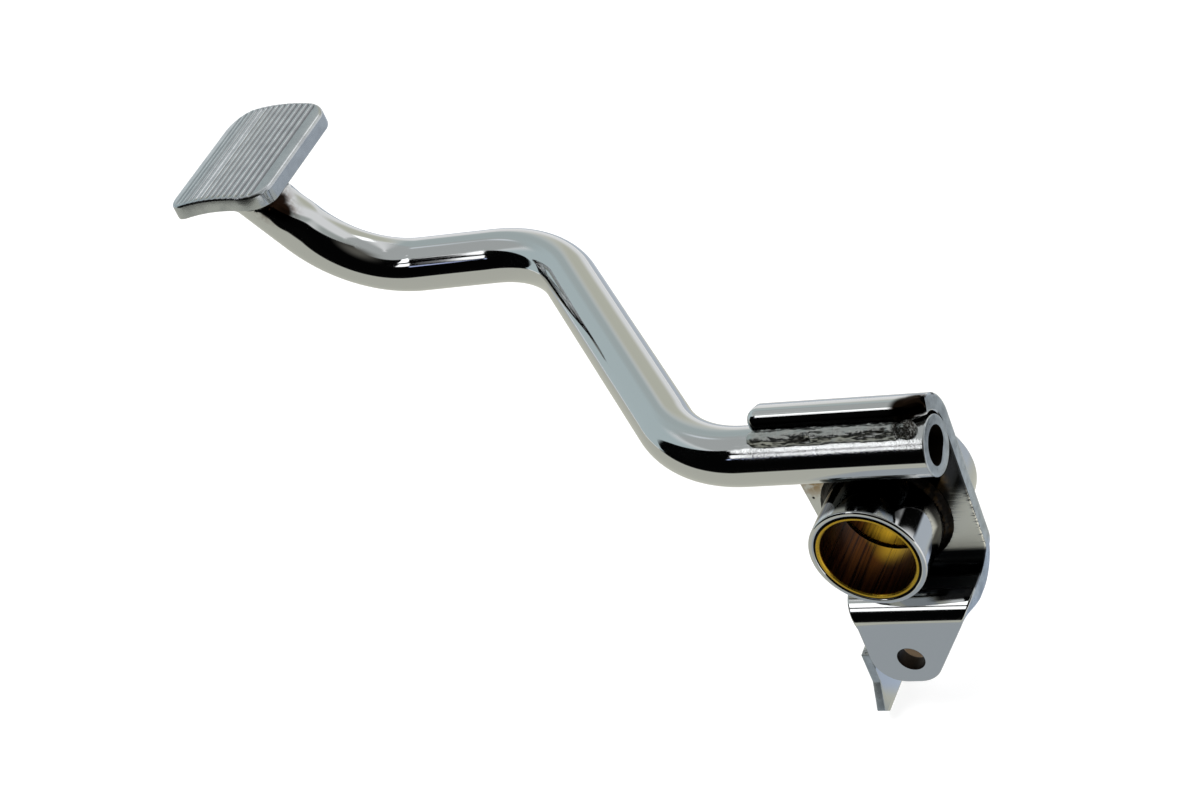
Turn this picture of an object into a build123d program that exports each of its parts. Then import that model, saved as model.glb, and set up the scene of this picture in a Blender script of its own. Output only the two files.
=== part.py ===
"""Rear brake pedal of a motorbike: a welded, chrome-plated steel pedal that turns on a shaft in its boss."""
import os
from math import cos, degrees, radians, sin, sqrt, tan
from build123d import *

os.makedirs("parts", exist_ok=True)

# Driving dimensions in millimetres and degrees.
# The origin is the middle of the pivot bore. Y is the pivot axis, with the outer side of the bike at +Y.
# X runs along the lower stretch of the arm, with the pad forward at -X, and Z is up.

# Pivot: a turned boss with a shoulder behind the bracket, lined by two bushes.
bush_bore = 25.4
bush_wall = 1.5875
bush_gap = 1.4
bush_chamfer = 0.5
boss_wall = 1.5875
boss_length = 37.0
boss_shoulder_step = 3.175
boss_rim_round = 0.6
boss_rear_chamfer = 0.8

# Bracket: one pressed plate with a flange over the arm and a stepped-forward lever tab.
plate_thickness = 4.6
plate_front_y = -0.6
plate_left_margin = 4.3
plate_right_margin = 8.2
flange_left_x = -24.2
flange_lip = 0.5
flange_corner = 3.4
flange_ease_length = 7.6
flange_ease_depth = 3.0
flange_edge_round = 3.0
top_bend_clearance = 0.5
shelf_top_z = -20.0
shelf_bend_inner = 4.0
shelf_left_x = -15.6
shelf_right_x = 20.7
shoulder_left_rise = 8.0
shoulder_right_rise = 6.5
shoulder_round = 10.0
tab_step = 14.6
tab_bend_outer = 7.8
tab_neck_right_x = 16.1
tab_rim = 4.8
tab_left_reach = 3.4
clevis_hole = 7.2
clevis_x = -1.6
clevis_drop = 38.8

# Arm: thick-walled round tube with three bends of one radius.
arm_diameter = 15.875
arm_wall = 3.2
arm_bend_radius = 36.0
arm_height = 28.1
arm_end_x = 25.6
arm_seat_gap = 0.1
arm_top_gap = 1.2
arm_lower_run = 70.2
arm_jog_forward = 73.9
arm_jog_out = 87.7
arm_jog_rise = 9.4
arm_front_run = 63.9
arm_front_in = 4.8
arm_front_rise = 2.7
arm_riser_forward = 16.6
arm_riser_in = 5.6
arm_riser_rise = 35.0

# Pad: a cast plate arched across its width, with straight ridges along its length.
# Two opposite corners, rear inner and front outer, are rounded more than the other two.
pad_width = 34.7
pad_length = 49.0
pad_thickness = 5.0
pad_arch_radius = 64.0
pad_corner_small = 6.5
pad_corner_large = 8.5
pad_edge_round = 0.9
pad_forward_of_arm = 10.1
pad_inner_overhang = 9.2
ridge_pitch = 2.05
ridge_depth = 0.65
ridge_flank = 0.72
ridge_border_right = 3.2
ridge_border_left = 1.4

# Stop: a small plate on the left edge of the lever tab, with a toe kicked forward.
stop_thickness = 2.4
stop_lap = 1.5
stop_front_set = 0.3
stop_top_flat = 2.6
stop_top_slope = 50.0
stop_straight = 8.4
stop_drop = 18.2
stop_toe = 3.6
stop_toe_height = 2.4
stop_foot = 12.0

# Welds.
flange_weld_radius = 2.3
flange_weld_start = 3.2
flange_weld_stop = 7.2
flange_weld_reach = 33.0
crater_radius = 2.6
crater_offset = 2.4
boss_weld_leg = 2.3
boss_weld_throat = 0.95
pad_weld_leg = 1.2
stop_weld_radius = 1.9
stop_weld_length = 2.4

# Sizes that follow from the ones above.
bush_outside = bush_bore + 2 * bush_wall
boss_outside = bush_outside + 2 * boss_wall
shoulder_outside = boss_outside + 2 * boss_shoulder_step
boss_radius = boss_outside / 2
half_boss = boss_length / 2
plate_back_y = plate_front_y + plate_thickness
tab_front_y = plate_front_y - tab_step
tab_mid_y = tab_front_y + plate_thickness / 2
clevis_z = -clevis_drop
tab_end_radius = clevis_hole / 2 + tab_rim
tab_left_x = clevis_x - tab_left_reach - tab_end_radius
tab_top_z = shelf_top_z - tab_bend_outer
arm_radius = arm_diameter / 2
arm_y = plate_front_y - arm_seat_gap - arm_radius
flange_under_z = arm_height + arm_radius + arm_top_gap
flange_top_z = flange_under_z + plate_thickness
top_bend_inner = arm_radius + top_bend_clearance
flange_front_y = plate_front_y - top_bend_inner - flange_lip

# The arm's axis, from its cut end to the underside of the pad.
arm_start = Vector(arm_end_x, arm_y, arm_height)
bend_low = arm_start + Vector(-arm_lower_run, 0, 0)
bend_outer = bend_low + Vector(-arm_jog_forward, arm_jog_out, arm_jog_rise)
bend_front = bend_outer + Vector(-arm_front_run, -arm_front_in, arm_front_rise)
arm_tip = bend_front + Vector(-arm_riser_forward, -arm_riser_in, arm_riser_rise)
riser_way = (arm_tip - bend_front).normalized()

# The pad's place follows the arm's tip: its underside passes through that point.
pad_x = arm_tip.X - pad_forward_of_arm
pad_inner_y = arm_tip.Y - pad_inner_overhang
pad_y = pad_inner_y + pad_length / 2
pad_under_radius = pad_arch_radius - pad_thickness
arch_centre_z = arm_tip.Z - sqrt(pad_under_radius**2 - pad_forward_of_arm**2)


def turned(profile):
    """Spin a half section, drawn as (radius, Y) points, about the pivot axis."""
    face = Plane.XY * make_face(Polyline(*profile, close=True))
    return revolve(face, axis=Axis.Y)


def make_pivot_boss():
    """Boss: a tube through the plate, rounded in front, with a larger shoulder against the plate's back."""
    boss = turned([
        (bush_outside / 2, -half_boss),
        (boss_radius, -half_boss),
        (boss_radius, plate_back_y),
        (shoulder_outside / 2, plate_back_y),
        (shoulder_outside / 2, half_boss),
        (bush_outside / 2, half_boss),
    ])
    front_rim = boss.edges().filter_by(GeomType.CIRCLE).group_by(Axis.Y)[0].sort_by(SortBy.RADIUS)[-1]
    boss = fillet(front_rim, boss_rim_round)
    rear_rim = boss.edges().filter_by(GeomType.CIRCLE).group_by(Axis.Y)[-1].sort_by(SortBy.RADIUS)[-1]
    return chamfer(rear_rim, boss_rear_chamfer)


def make_bush(outer_end, inner_end):
    """Plain bronze bush from one end of the boss towards its middle, chamfered in and out at the mouth."""
    step = bush_chamfer if inner_end > outer_end else -bush_chamfer
    return turned([
        (bush_bore / 2 + bush_chamfer, outer_end),
        (bush_outside / 2 - bush_chamfer, outer_end),
        (bush_outside / 2, outer_end + step),
        (bush_outside / 2, inner_end),
        (bush_bore / 2, inner_end),
        (bush_bore / 2, outer_end + step),
    ])


def bracket_outline():
    """The bracket's outline as seen along the pivot: leaning sides, then the lever tab round its hole."""
    left_lean = (flange_left_x + boss_radius + plate_left_margin) / flange_top_z
    right_lean = (arm_end_x - boss_radius - plate_right_margin) / flange_top_z
    left_shoulder_z = shelf_top_z + shoulder_left_rise
    right_shoulder_z = shelf_top_z + shoulder_right_rise
    plate = make_face(Polyline(
        (flange_left_x, flange_top_z),
        (arm_end_x, flange_top_z),
        (boss_radius + plate_right_margin + right_lean * right_shoulder_z, right_shoulder_z),
        (shelf_right_x, shelf_top_z),
        (tab_neck_right_x, tab_top_z),
        (tab_left_x, tab_top_z),
        (shelf_left_x, shelf_top_z),
        (left_lean * left_shoulder_z - boss_radius - plate_left_margin, left_shoulder_z),
        close=True,
    ))
    shoulders = plate.vertices().filter_by(lambda v: shelf_top_z < v.Y < flange_top_z)
    plate = fillet(shoulders, shoulder_round)
    tab_ends = [Pos(x, clevis_z) * Circle(tab_end_radius) for x in (clevis_x - tab_left_reach, clevis_x)]
    neck = Line((tab_left_x, tab_top_z), (tab_neck_right_x, tab_top_z))
    tab = make_hull([end.edge() for end in tab_ends] + [neck.edge()])
    return Plane.XZ * (plate + tab)


def make_bracket():
    """Pressed plate: its bent front surface is trimmed to the outline and thickened backwards, so every edge
    stays square to the sheet round the bends, as on a sheared and folded blank."""
    front_line = Plane.YZ * FilletPolyline(
        (flange_front_y, flange_under_z),
        (plate_front_y, flange_under_z),
        (plate_front_y, shelf_top_z),
        (tab_front_y, shelf_top_z),
        (tab_front_y, clevis_z - 2 * tab_end_radius),
        radius=[top_bend_inner, shelf_bend_inner, tab_bend_outer],
    )
    reach = arm_end_x - flange_left_x
    trim = extrude(bracket_outline(), boss_length, both=True)
    bracket = None
    for edge in front_line.edges():
        strip = Face.extrude(edge.moved(Pos(-reach, 0, 0)), (2 * reach, 0, 0))
        surface = (strip & trim).face()
        backwards = Vector(1, 0, 0).cross(edge % 0.5)
        side = 1 if surface.normal_at(surface.center(CenterOf.GEOMETRY)).dot(backwards) > 0 else -1
        fold = Solid.thicken(surface, side * plate_thickness)
        bracket = fold if bracket is None else bracket + fold

    # Seen from above, the flange's left front corner is rounded and its right one eased back in a wide arc.
    # Its top edge is rolled over all along that front.
    ease_start = (arm_end_x - flange_ease_length, flange_front_y)
    ease_end = (arm_end_x, flange_front_y + flange_ease_depth)
    left_back = (flange_left_x, boss_length)
    front = FilletPolyline(left_back, (flange_left_x, flange_front_y), ease_start, radius=flange_corner)
    ease = TangentArc(ease_start, ease_end, tangent=(1, 0))
    rest = Polyline(ease_end, (arm_end_x, boss_length), left_back)
    plan = make_face(front.edges() + ease.edges() + rest.edges())
    over = Pos(0, 0, boss_radius) * extrude(plan, flange_top_z - boss_radius)
    top_edges = over.faces().sort_by(Axis.Z)[-1].edges()
    rim = top_edges.sort_by(Axis.X)[:-1].sort_by(Axis.Y)[:-1]
    over = fillet(rim, flange_edge_round)
    below = (Align.CENTER, Align.CENTER, Align.MAX)
    under = Pos(0, 0, boss_radius) * Box(2 * reach, 2 * boss_length, 3 * clevis_drop, align=below)
    bracket = bracket & (over + under)

    boss_hole = Rot(90, 0, 0) * Cylinder(boss_radius, 2 * boss_length)
    lever_hole = Rot(90, 0, 0) * Cylinder(clevis_hole / 2, 2 * plate_thickness)
    return bracket - boss_hole - Pos(clevis_x, tab_mid_y, clevis_z) * lever_hole


def arched_slab(inner, outer):
    """Slab between two radii of the pad's arch, larger than the pad each way."""
    window = Pos(0, outer) * Rectangle(2 * pad_width, outer)
    arch = (Circle(outer) & window) - Circle(inner)
    return Pos(pad_x, pad_y, arch_centre_z) * extrude(Plane.XZ * arch, pad_length, both=True)


def make_pad():
    """Pedal pad: arched plate with rounded corners and edges, and V grooves that leave ridges standing."""
    blank = arched_slab(pad_under_radius, pad_arch_radius)
    outline = Rectangle(pad_width, pad_length)
    rounder = outline.vertices().filter_by(lambda v: v.X * v.Y < 0)
    crisper = outline.vertices().filter_by(lambda v: v.X * v.Y > 0)
    plan = fillet(rounder, pad_corner_large) & fillet(crisper, pad_corner_small)
    pad = blank & (Pos(pad_x, pad_y, arch_centre_z) * extrude(plan, 2 * pad_arch_radius))
    top_face = pad.faces().sort_by(Axis.Z)[-1]
    pad = fillet(top_face.edges(), pad_edge_round)

    groove_step = ridge_pitch / pad_arch_radius
    room = pad_width - ridge_border_left - ridge_border_right
    groove_count = int(room / ridge_pitch)
    notch = make_face(Polyline(
        (-ridge_flank, ridge_depth / 2),
        (ridge_flank, ridge_depth / 2),
        (0, -ridge_depth),
        close=True,
    ))
    first = (pad_width / 2 - ridge_border_right) / pad_arch_radius
    for index in range(groove_count):
        lean = first - (index + 0.5) * groove_step
        place = Pos(pad_x, 0, arch_centre_z) * Rot(0, degrees(lean), 0) * Pos(0, 0, pad_arch_radius)
        groove = place * (Plane.XZ * notch)
        pad -= Pos(0, pad_y + pad_length, 0) * extrude(groove, 2 * pad_length, dir=(0, -1, 0))
    return pad


def make_arm():
    """Arm: one thick-walled tube swept along its bent axis, its far end shaped to the pad's underside."""
    past_pad = arm_tip + riser_way * pad_thickness
    axis_line = FilletPolyline(arm_start, bend_low, bend_outer, bend_front, past_pad, radius=arm_bend_radius)
    start = Plane(origin=arm_start, z_dir=axis_line % 0)
    outside = sweep(start * Circle(arm_radius), path=axis_line)
    bore = sweep(start * Circle(arm_radius - arm_wall), path=axis_line)
    return outside - bore - arched_slab(pad_under_radius, pad_under_radius + 4 * pad_thickness)


def make_stop():
    """Stop plate: lies against the left edge of the lever tab, drops below it and kicks its toe forward."""
    front = tab_front_y + stop_front_set
    top = clevis_z + stop_lap
    bottom = clevis_z - stop_drop
    heel = front + stop_foot
    outline = make_face(Polyline(
        (front, top),
        (front, clevis_z - stop_straight),
        (front - stop_toe, bottom + stop_toe_height),
        (front - stop_toe + stop_toe_height, bottom),
        (heel, bottom),
        (heel, top - (stop_foot - stop_top_flat) * tan(radians(stop_top_slope))),
        (front + stop_top_flat, top),
        close=True,
    ))
    return Pos(tab_left_x, 0, 0) * extrude(Plane.YZ * outline, stop_thickness, dir=(-1, 0, 0))


def make_flange_weld(arm, bracket):
    """Bead along the flange's front edge on top of the arm, ending in a round crater."""
    touch_y = arm_y - arm_radius * sin(radians(flange_weld_reach))
    touch_z = arm_height + arm_radius * cos(radians(flange_weld_reach))
    bead_y = (touch_y + flange_front_y) / 2
    bead_z = (touch_z + flange_under_z) / 2
    left = flange_left_x + flange_weld_start
    right = arm_end_x - flange_weld_stop
    run = Rot(0, 90, 0) * Cylinder(flange_weld_radius, right - left)
    bead = Pos((left + right) / 2, bead_y, bead_z) * run
    bead += Pos(left, bead_y, bead_z) * Sphere(flange_weld_radius)
    bead += Pos(right + crater_offset, bead_y, bead_z) * Sphere(crater_radius)
    return bead - arm - bracket


def make_boss_weld(bracket):
    """Fillet weld round the boss where it comes through the front of the plate, with a hollow face."""
    weld = turned([
        (boss_radius, plate_front_y),
        (boss_radius + boss_weld_leg, plate_front_y),
        (boss_radius + boss_weld_throat, plate_front_y - boss_weld_throat),
        (boss_radius, plate_front_y - boss_weld_leg),
    ])
    return weld - bracket


def make_pad_weld(arm, pad):
    """Bead round the arm's end under the pad, following the ellipse where the tube meets the underside."""
    normal = Vector(arm_tip.X - pad_x, 0, arm_tip.Z - arch_centre_z).normalized()
    along = (riser_way - normal * riser_way.dot(normal)).normalized()
    stretch = 1 / riser_way.dot(normal)
    seat = Plane(origin=arm_tip, x_dir=along, z_dir=normal)
    ring = (seat * Ellipse(arm_radius * stretch, arm_radius)).edge()
    section = Plane(origin=ring @ 0, x_dir=normal, z_dir=ring % 0) * RegularPolygon(pad_weld_leg, 4)
    return sweep(section, path=ring) - arm - pad


def make_stop_weld():
    """Short fillet weld in the corner between the stop's top and the left edge of the lever tab."""
    quarter = Rectangle(stop_weld_radius, stop_weld_radius, align=(Align.MAX, Align.MIN))
    corner = Circle(stop_weld_radius) & quarter
    start = Pos(tab_left_x, tab_front_y + stop_front_set, clevis_z + stop_lap)
    return start * extrude(Plane.XZ * corner, stop_weld_length, dir=(0, 1, 0))


bracket = make_bracket()
pad = make_pad()
arm = make_arm()
stop = make_stop()
pieces = {
    "pivot_boss": make_pivot_boss(),
    "front_bush": make_bush(-half_boss, -bush_gap / 2),
    "rear_bush": make_bush(half_boss, bush_gap / 2),
    "pivot_bracket": bracket,
    "arm_tube": arm,
    "pedal_pad": pad,
    "stop_tab": stop,
    "flange_weld": make_flange_weld(arm, bracket),
    "boss_weld": make_boss_weld(bracket),
    "pad_weld": make_pad_weld(arm, pad),
    "stop_weld": make_stop_weld(),
}
for name, solid in pieces.items():
    export_step(solid, f"parts/{name}.step")
    print(f"{name}: {solid.volume:.0f} mm3, size {solid.bounding_box().size}")
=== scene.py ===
# %% [markdown]
# A rear brake pedal of a motorbike, dressed for a product photograph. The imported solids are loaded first.
# They give the sizes and places below, and nothing here moves them. Pieces that need a rolled edge, a
# hand-laid bead or a cast surface get a mesh of their own, which stands for the solid at the same place. One
# scene unit is a metre, and `mm` turns a size on the bench into scene units.

# %% Load the frame
from math import acos, asin, cos, degrees, exp, hypot, pi, radians, sin, sqrt, tan
import bmesh
import bpy
from mathutils import Matrix, Vector, kdtree
from mathutils.bvhtree import BVHTree


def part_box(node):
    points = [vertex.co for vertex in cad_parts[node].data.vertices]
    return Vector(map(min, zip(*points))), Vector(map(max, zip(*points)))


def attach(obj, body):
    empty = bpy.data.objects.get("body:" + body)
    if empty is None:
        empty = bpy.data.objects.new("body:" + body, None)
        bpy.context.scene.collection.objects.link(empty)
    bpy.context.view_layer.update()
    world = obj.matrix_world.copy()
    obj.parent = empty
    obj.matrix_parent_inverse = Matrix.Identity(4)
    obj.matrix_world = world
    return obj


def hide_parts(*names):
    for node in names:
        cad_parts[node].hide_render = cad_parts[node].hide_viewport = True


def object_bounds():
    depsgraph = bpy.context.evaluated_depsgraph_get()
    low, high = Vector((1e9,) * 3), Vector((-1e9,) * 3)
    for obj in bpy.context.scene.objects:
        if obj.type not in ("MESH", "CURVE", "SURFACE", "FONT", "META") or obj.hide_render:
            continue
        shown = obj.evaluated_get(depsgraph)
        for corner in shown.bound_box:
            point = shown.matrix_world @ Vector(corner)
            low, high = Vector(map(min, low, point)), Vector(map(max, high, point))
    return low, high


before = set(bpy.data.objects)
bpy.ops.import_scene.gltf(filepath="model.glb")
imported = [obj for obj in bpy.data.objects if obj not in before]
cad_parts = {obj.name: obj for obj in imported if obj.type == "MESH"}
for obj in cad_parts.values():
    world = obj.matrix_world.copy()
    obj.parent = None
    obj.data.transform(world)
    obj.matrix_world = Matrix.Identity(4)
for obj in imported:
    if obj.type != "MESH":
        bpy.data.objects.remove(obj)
cad_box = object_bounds()
mm = 0.001
low, high = (Vector(corner) for corner in cad_box)
middle = (low + high) / 2


def put(name, data):
    """A new object in the scene, at the origin."""
    made = bpy.data.objects.new(name, data)
    bpy.context.collection.objects.link(made)
    return made


print("nodes:", sorted(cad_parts))
print("box of the solids in mm:", [[round(x / mm, 1) for x in corner] for corner in cad_box])

# %% [markdown]
# The camera stands where the photograph was taken from: above the pedal, on the bike's side of it, and
# rolled, because the pedal lay tipped. A long lens keeps the far pad from shrinking. Its place and
# directions were found by fitting the round boss, the bore and the straight runs of the tube to the picture.

# %% Camera
camera_place = Vector((0.32463, -0.53903, 0.46540))
camera_right = Vector((0.865286, 0.348029, -0.360772))
camera_back = Vector((0.497665, -0.682686, 0.535041))
camera_data = bpy.data.cameras.new("photo_camera")
camera_data.lens = 90.0
camera_data.sensor_width = 36.0
camera_data.clip_start = 0.01
camera = put("photo_camera", camera_data)
turn = Matrix((camera_right, camera_back.cross(camera_right), camera_back)).transposed().to_4x4()
camera.matrix_world = Matrix.Translation(camera_place) @ turn
bpy.context.scene.camera = camera
bpy.context.scene.view_settings.view_transform = "Standard"
print("camera looks down by", round(90 - degrees(acos(camera_back.z)), 1), "degrees")

# %% [markdown]
# Materials and geometry trees are both made of nodes. One helper turns a colour as a person writes it, an
# sRGB hex value, into the linear numbers that shaders want. Another adds a node with its settings and links,
# so a whole finish reads as a list of short lines. The last one hands out the emptied node tree of something
# new.

# %% Helpers for nodes
MULTIPLY = {"operation": "MULTIPLY"}
MULTIPLY_ADD = {"operation": "MULTIPLY_ADD"}
SUBTRACT = {"operation": "SUBTRACT"}
DIVIDE = {"operation": "DIVIDE"}
GREATER = {"operation": "MAXIMUM"}
DISTANCE = {"operation": "DISTANCE"}
SCALE = {"operation": "SCALE"}
SMOOTH = {"interpolation_type": "SMOOTHSTEP"}
COLOURS = {"data_type": "RGBA"}


def linear(hex_colour):
    """Linear RGBA of an sRGB colour written as #RRGGBB."""
    shares = [int(hex_colour[i:i + 2], 16) / 255 for i in (1, 3, 5)]
    return tuple(s / 12.92 if s <= 0.04045 else ((s + 0.055) / 1.055) ** 2.4 for s in shares) + (1.0,)


def add(tree, kind, settings=None, out=0, **inputs):
    """Add a node, set its properties, then set or link its inputs, and return one of its outputs.
    An input goes by its socket's name with _ for a space, or by _ and its number where names repeat."""
    made = tree.nodes.new(kind)
    for key, value in (settings or {}).items():
        setattr(made, key, value)
    for key, value in inputs.items():
        socket = made.inputs[int(key[1:])] if key[1:].isdigit() else made.inputs[key.replace("_", " ")]
        if isinstance(value, bpy.types.NodeSocket):
            tree.links.new(value, socket)
        elif isinstance(value, str) and value.startswith("#"):
            socket.default_value = linear(value)
        else:
            socket.default_value = value
    return made.outputs[out] if made.outputs else made


def bare_tree(owner):
    """The emptied node tree of a new material or world."""
    owner.use_nodes = True
    owner.node_tree.nodes.clear()
    return owner.node_tree


print("a mid grey, #808080, is", [round(x, 3) for x in linear("#808080")])

# %% [markdown]
# Chrome shows the room more than itself, so the studio comes before the finishes. The world is white to the
# camera and to mirrored rays, and plainer as a source of soft light. The floor is white paper: part of its
# white is its own glow and the rest is lit, so that the pedal still throws a faint shadow on it. A brown spot
# of painted shade, without glow, lies on the paper where the camera looks through the rod hole, so that the
# hole shows brown. The pedal doesn't cast it, and from other sides it is seen lying clear of the stop.


# %% White world and floor
def seen_by_eye_or_mirror(tree):
    """1 for rays of the camera, of a mirror and through glass, 0 for rays of soft light."""
    path = tree.nodes.new("ShaderNodeLightPath").outputs
    seen = path["Is Camera Ray"]
    for kind in ("Is Glossy Ray", "Is Transmission Ray"):
        seen = add(tree, "ShaderNodeMath", GREATER, _0=seen, _1=path[kind])
    return seen


plain_level = 0.55
world = bpy.data.worlds.new("white_studio")
bpy.context.scene.world = world
sky = bare_tree(world)
level = add(sky, "ShaderNodeMapRange", Value=seen_by_eye_or_mirror(sky), To_Min=plain_level, To_Max=1.0)
ground = add(sky, "ShaderNodeBackground", Color="#FFFFFF", Strength=level)
add(sky, "ShaderNodeOutputWorld", Surface=ground)

floor_gap = 2 * mm
floor_half = 3.0
floor_z = low.z - floor_gap
floor_mesh = bpy.data.meshes.new("white_floor")
corners = [(middle.x + u * floor_half, middle.y + v * floor_half, floor_z)
           for u, v in ((-1, -1), (1, -1), (1, 1), (-1, 1))]
floor_mesh.from_pydata(corners, [], [(0, 1, 2, 3)])
floor = put("white_floor", floor_mesh)
print("floor lies", round(floor_gap / mm, 1), "mm under the pedal")

# %% White paper with a brown spot of painted shade
paper_albedo = 0.36
paper_glow = 0.78
shade_spot_place = (-15 * mm, 7.5 * mm, floor_z)
shade_core, shade_reach = 2.5 * mm, 12 * mm
paper = bpy.data.materials.new("white_paper")
tree = bare_tree(paper)
place = add(tree, "ShaderNodeTexCoord", out="Object")
away = add(tree, "ShaderNodeVectorMath", DISTANCE, out="Value", _0=place, _1=shade_spot_place)
outside_shade = add(tree, "ShaderNodeMapRange", SMOOTH, Value=away, From_Min=shade_core, From_Max=shade_reach)
paper_white = (paper_albedo, paper_albedo, paper_albedo, 1)
# Painted shade: near the spot the paper turns brown and loses its glow.
colour = add(tree, "ShaderNodeMix", COLOURS, out=2, _0=outside_shade, _6="#6B5B49", _7=paper_white)
lit = add(tree, "ShaderNodeBsdfDiffuse", Color=colour)
glow = add(tree, "ShaderNodeMath", MULTIPLY, _0=seen_by_eye_or_mirror(tree), _1=paper_glow)
glow = add(tree, "ShaderNodeMath", MULTIPLY, _0=glow, _1=outside_shade)
shine = add(tree, "ShaderNodeEmission", Color="#FFFFFF", Strength=glow)
add(tree, "ShaderNodeOutputMaterial", Surface=add(tree, "ShaderNodeAddShader", _0=lit, _1=shine))
floor_mesh.materials.append(paper)
print("made", paper.name)

# %% [markdown]
# The rest of the studio is cards, as a photographer hangs them round a chromed part. A dark room behind the
# camera gives the black bands, and walls of pale blue, grey and beige give the broad light ones. Below lie a
# black cloth, a grey table, a blue floor and two papers for the lever tab and the stop. Small lamps draw the
# white lines. Only mirrored rays see the cards, and their edges fade a little, so that no reflection is cut
# with a knife. The dark room narrows to a tip, as the black bands do in the tube's bends, and two lamps lean
# to follow the tube.


# %% Paint of the cards
def card_paint(name, hex_colour, strength, soft):
    """A glowing card whose edges fade over the share `soft` of its width and height."""
    material = bpy.data.materials.new(name)
    tree = bare_tree(material)
    where = add(tree, "ShaderNodeTexCoord", out="UV")
    mask = 1.0
    for axis in ("X", "Y"):
        side = add(tree, "ShaderNodeSeparateXYZ", out=axis, _0=where)
        centred = add(tree, "ShaderNodeMath", SUBTRACT, _0=side, _1=0.5)
        spread = add(tree, "ShaderNodeMath", {"operation": "ABSOLUTE"}, _0=centred)
        edge = add(tree, "ShaderNodeMapRange", SMOOTH, Value=spread, From_Min=0.5, From_Max=0.5 - soft)
        mask = add(tree, "ShaderNodeMath", MULTIPLY, _0=edge, _1=mask)
    clear = add(tree, "ShaderNodeBsdfTransparent")
    shine = add(tree, "ShaderNodeEmission", Color=hex_colour, Strength=strength)
    faded = add(tree, "ShaderNodeMixShader", _0=mask, _1=clear, _2=shine)
    add(tree, "ShaderNodeOutputMaterial", Surface=faded)
    return material


def grid_faces(rows, columns):
    """Quads of a grid of points stored row by row."""
    return [(i * columns + j, i * columns + j + 1, (i + 1) * columns + j + 1, (i + 1) * columns + j)
            for i in range(rows - 1) for j in range(columns - 1)]


def toward(azimuth, elevation):
    """Direction from the pedal: azimuth 0 is the bike's side (-Y), growing towards the rear (+X)."""
    a, e = radians(azimuth), radians(elevation)
    return Vector((sin(a) * cos(e), -cos(a) * cos(e), sin(e)))


print("azimuth 90 points along", tuple(round(x) for x in toward(90, 0)))

# %% Cards that only mirrored rays see
card_steps = 25
card_level = 1.2


def hang_card(name, spot, hex_colour, strength, soft):
    """Hang a card whose spots are a function of two shares from 0 to 1."""
    steps = [i / (card_steps - 1) for i in range(card_steps)]
    shares = [(u, v) for u in steps for v in steps]
    mesh = bpy.data.meshes.new(name)
    mesh.from_pydata([spot(u, v) for u, v in shares], [], grid_faces(card_steps, card_steps))
    layer = mesh.uv_layers.new(name="card")
    for loop in mesh.loops:
        layer.data[loop.index].uv = shares[loop.vertex_index]
    mesh.materials.append(card_paint(name, hex_colour, card_level * strength, soft))
    card = put(name, mesh)
    for kind in ("camera", "diffuse", "transmission", "volume_scatter", "shadow"):
        setattr(card, "visible_" + kind, False)


def between(ends, share):
    """The value at a share of the way between two ends."""
    return ends[0] + share * (ends[1] - ends[0])


def on_ball(distance, azimuths, elevations):
    """Spots of a card that is a patch of a ball round the pedal."""
    return lambda u, v: middle + distance * toward(between(azimuths, u), between(elevations, v))


def pointed(distance, azimuths, elevations, tip, share, bluntness=0.6):
    """Spots of a card on the ball that narrows to a tip at an elevation, over a share of its width."""
    spot = on_ball(distance, azimuths, elevations)
    tip_v = (tip - elevations[0]) / (elevations[1] - elevations[0])
    return lambda u, v: spot(u, tip_v + (v - tip_v) * min(u / share, 1) ** bluntness)


def slanted(distance, azimuths, elevations, lean):
    """Spots of a card on the ball that leans: its top stands a number of degrees to one side of its foot."""
    spot = on_ball(distance, azimuths, elevations)
    return lambda u, v: spot(u + (v - 0.5) * lean / (azimuths[1] - azimuths[0]), v)


def on_floor(lift, xs, ys):
    """Spots of a card that lies flat, just above the floor."""
    return lambda u, v: Vector((between(xs, u), between(ys, v), floor_z + lift))


def upright(x, ys, zs):
    """Spots of a card that stands square to X."""
    return lambda u, v: Vector((x, between(ys, u), between(zs, v)))


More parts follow.
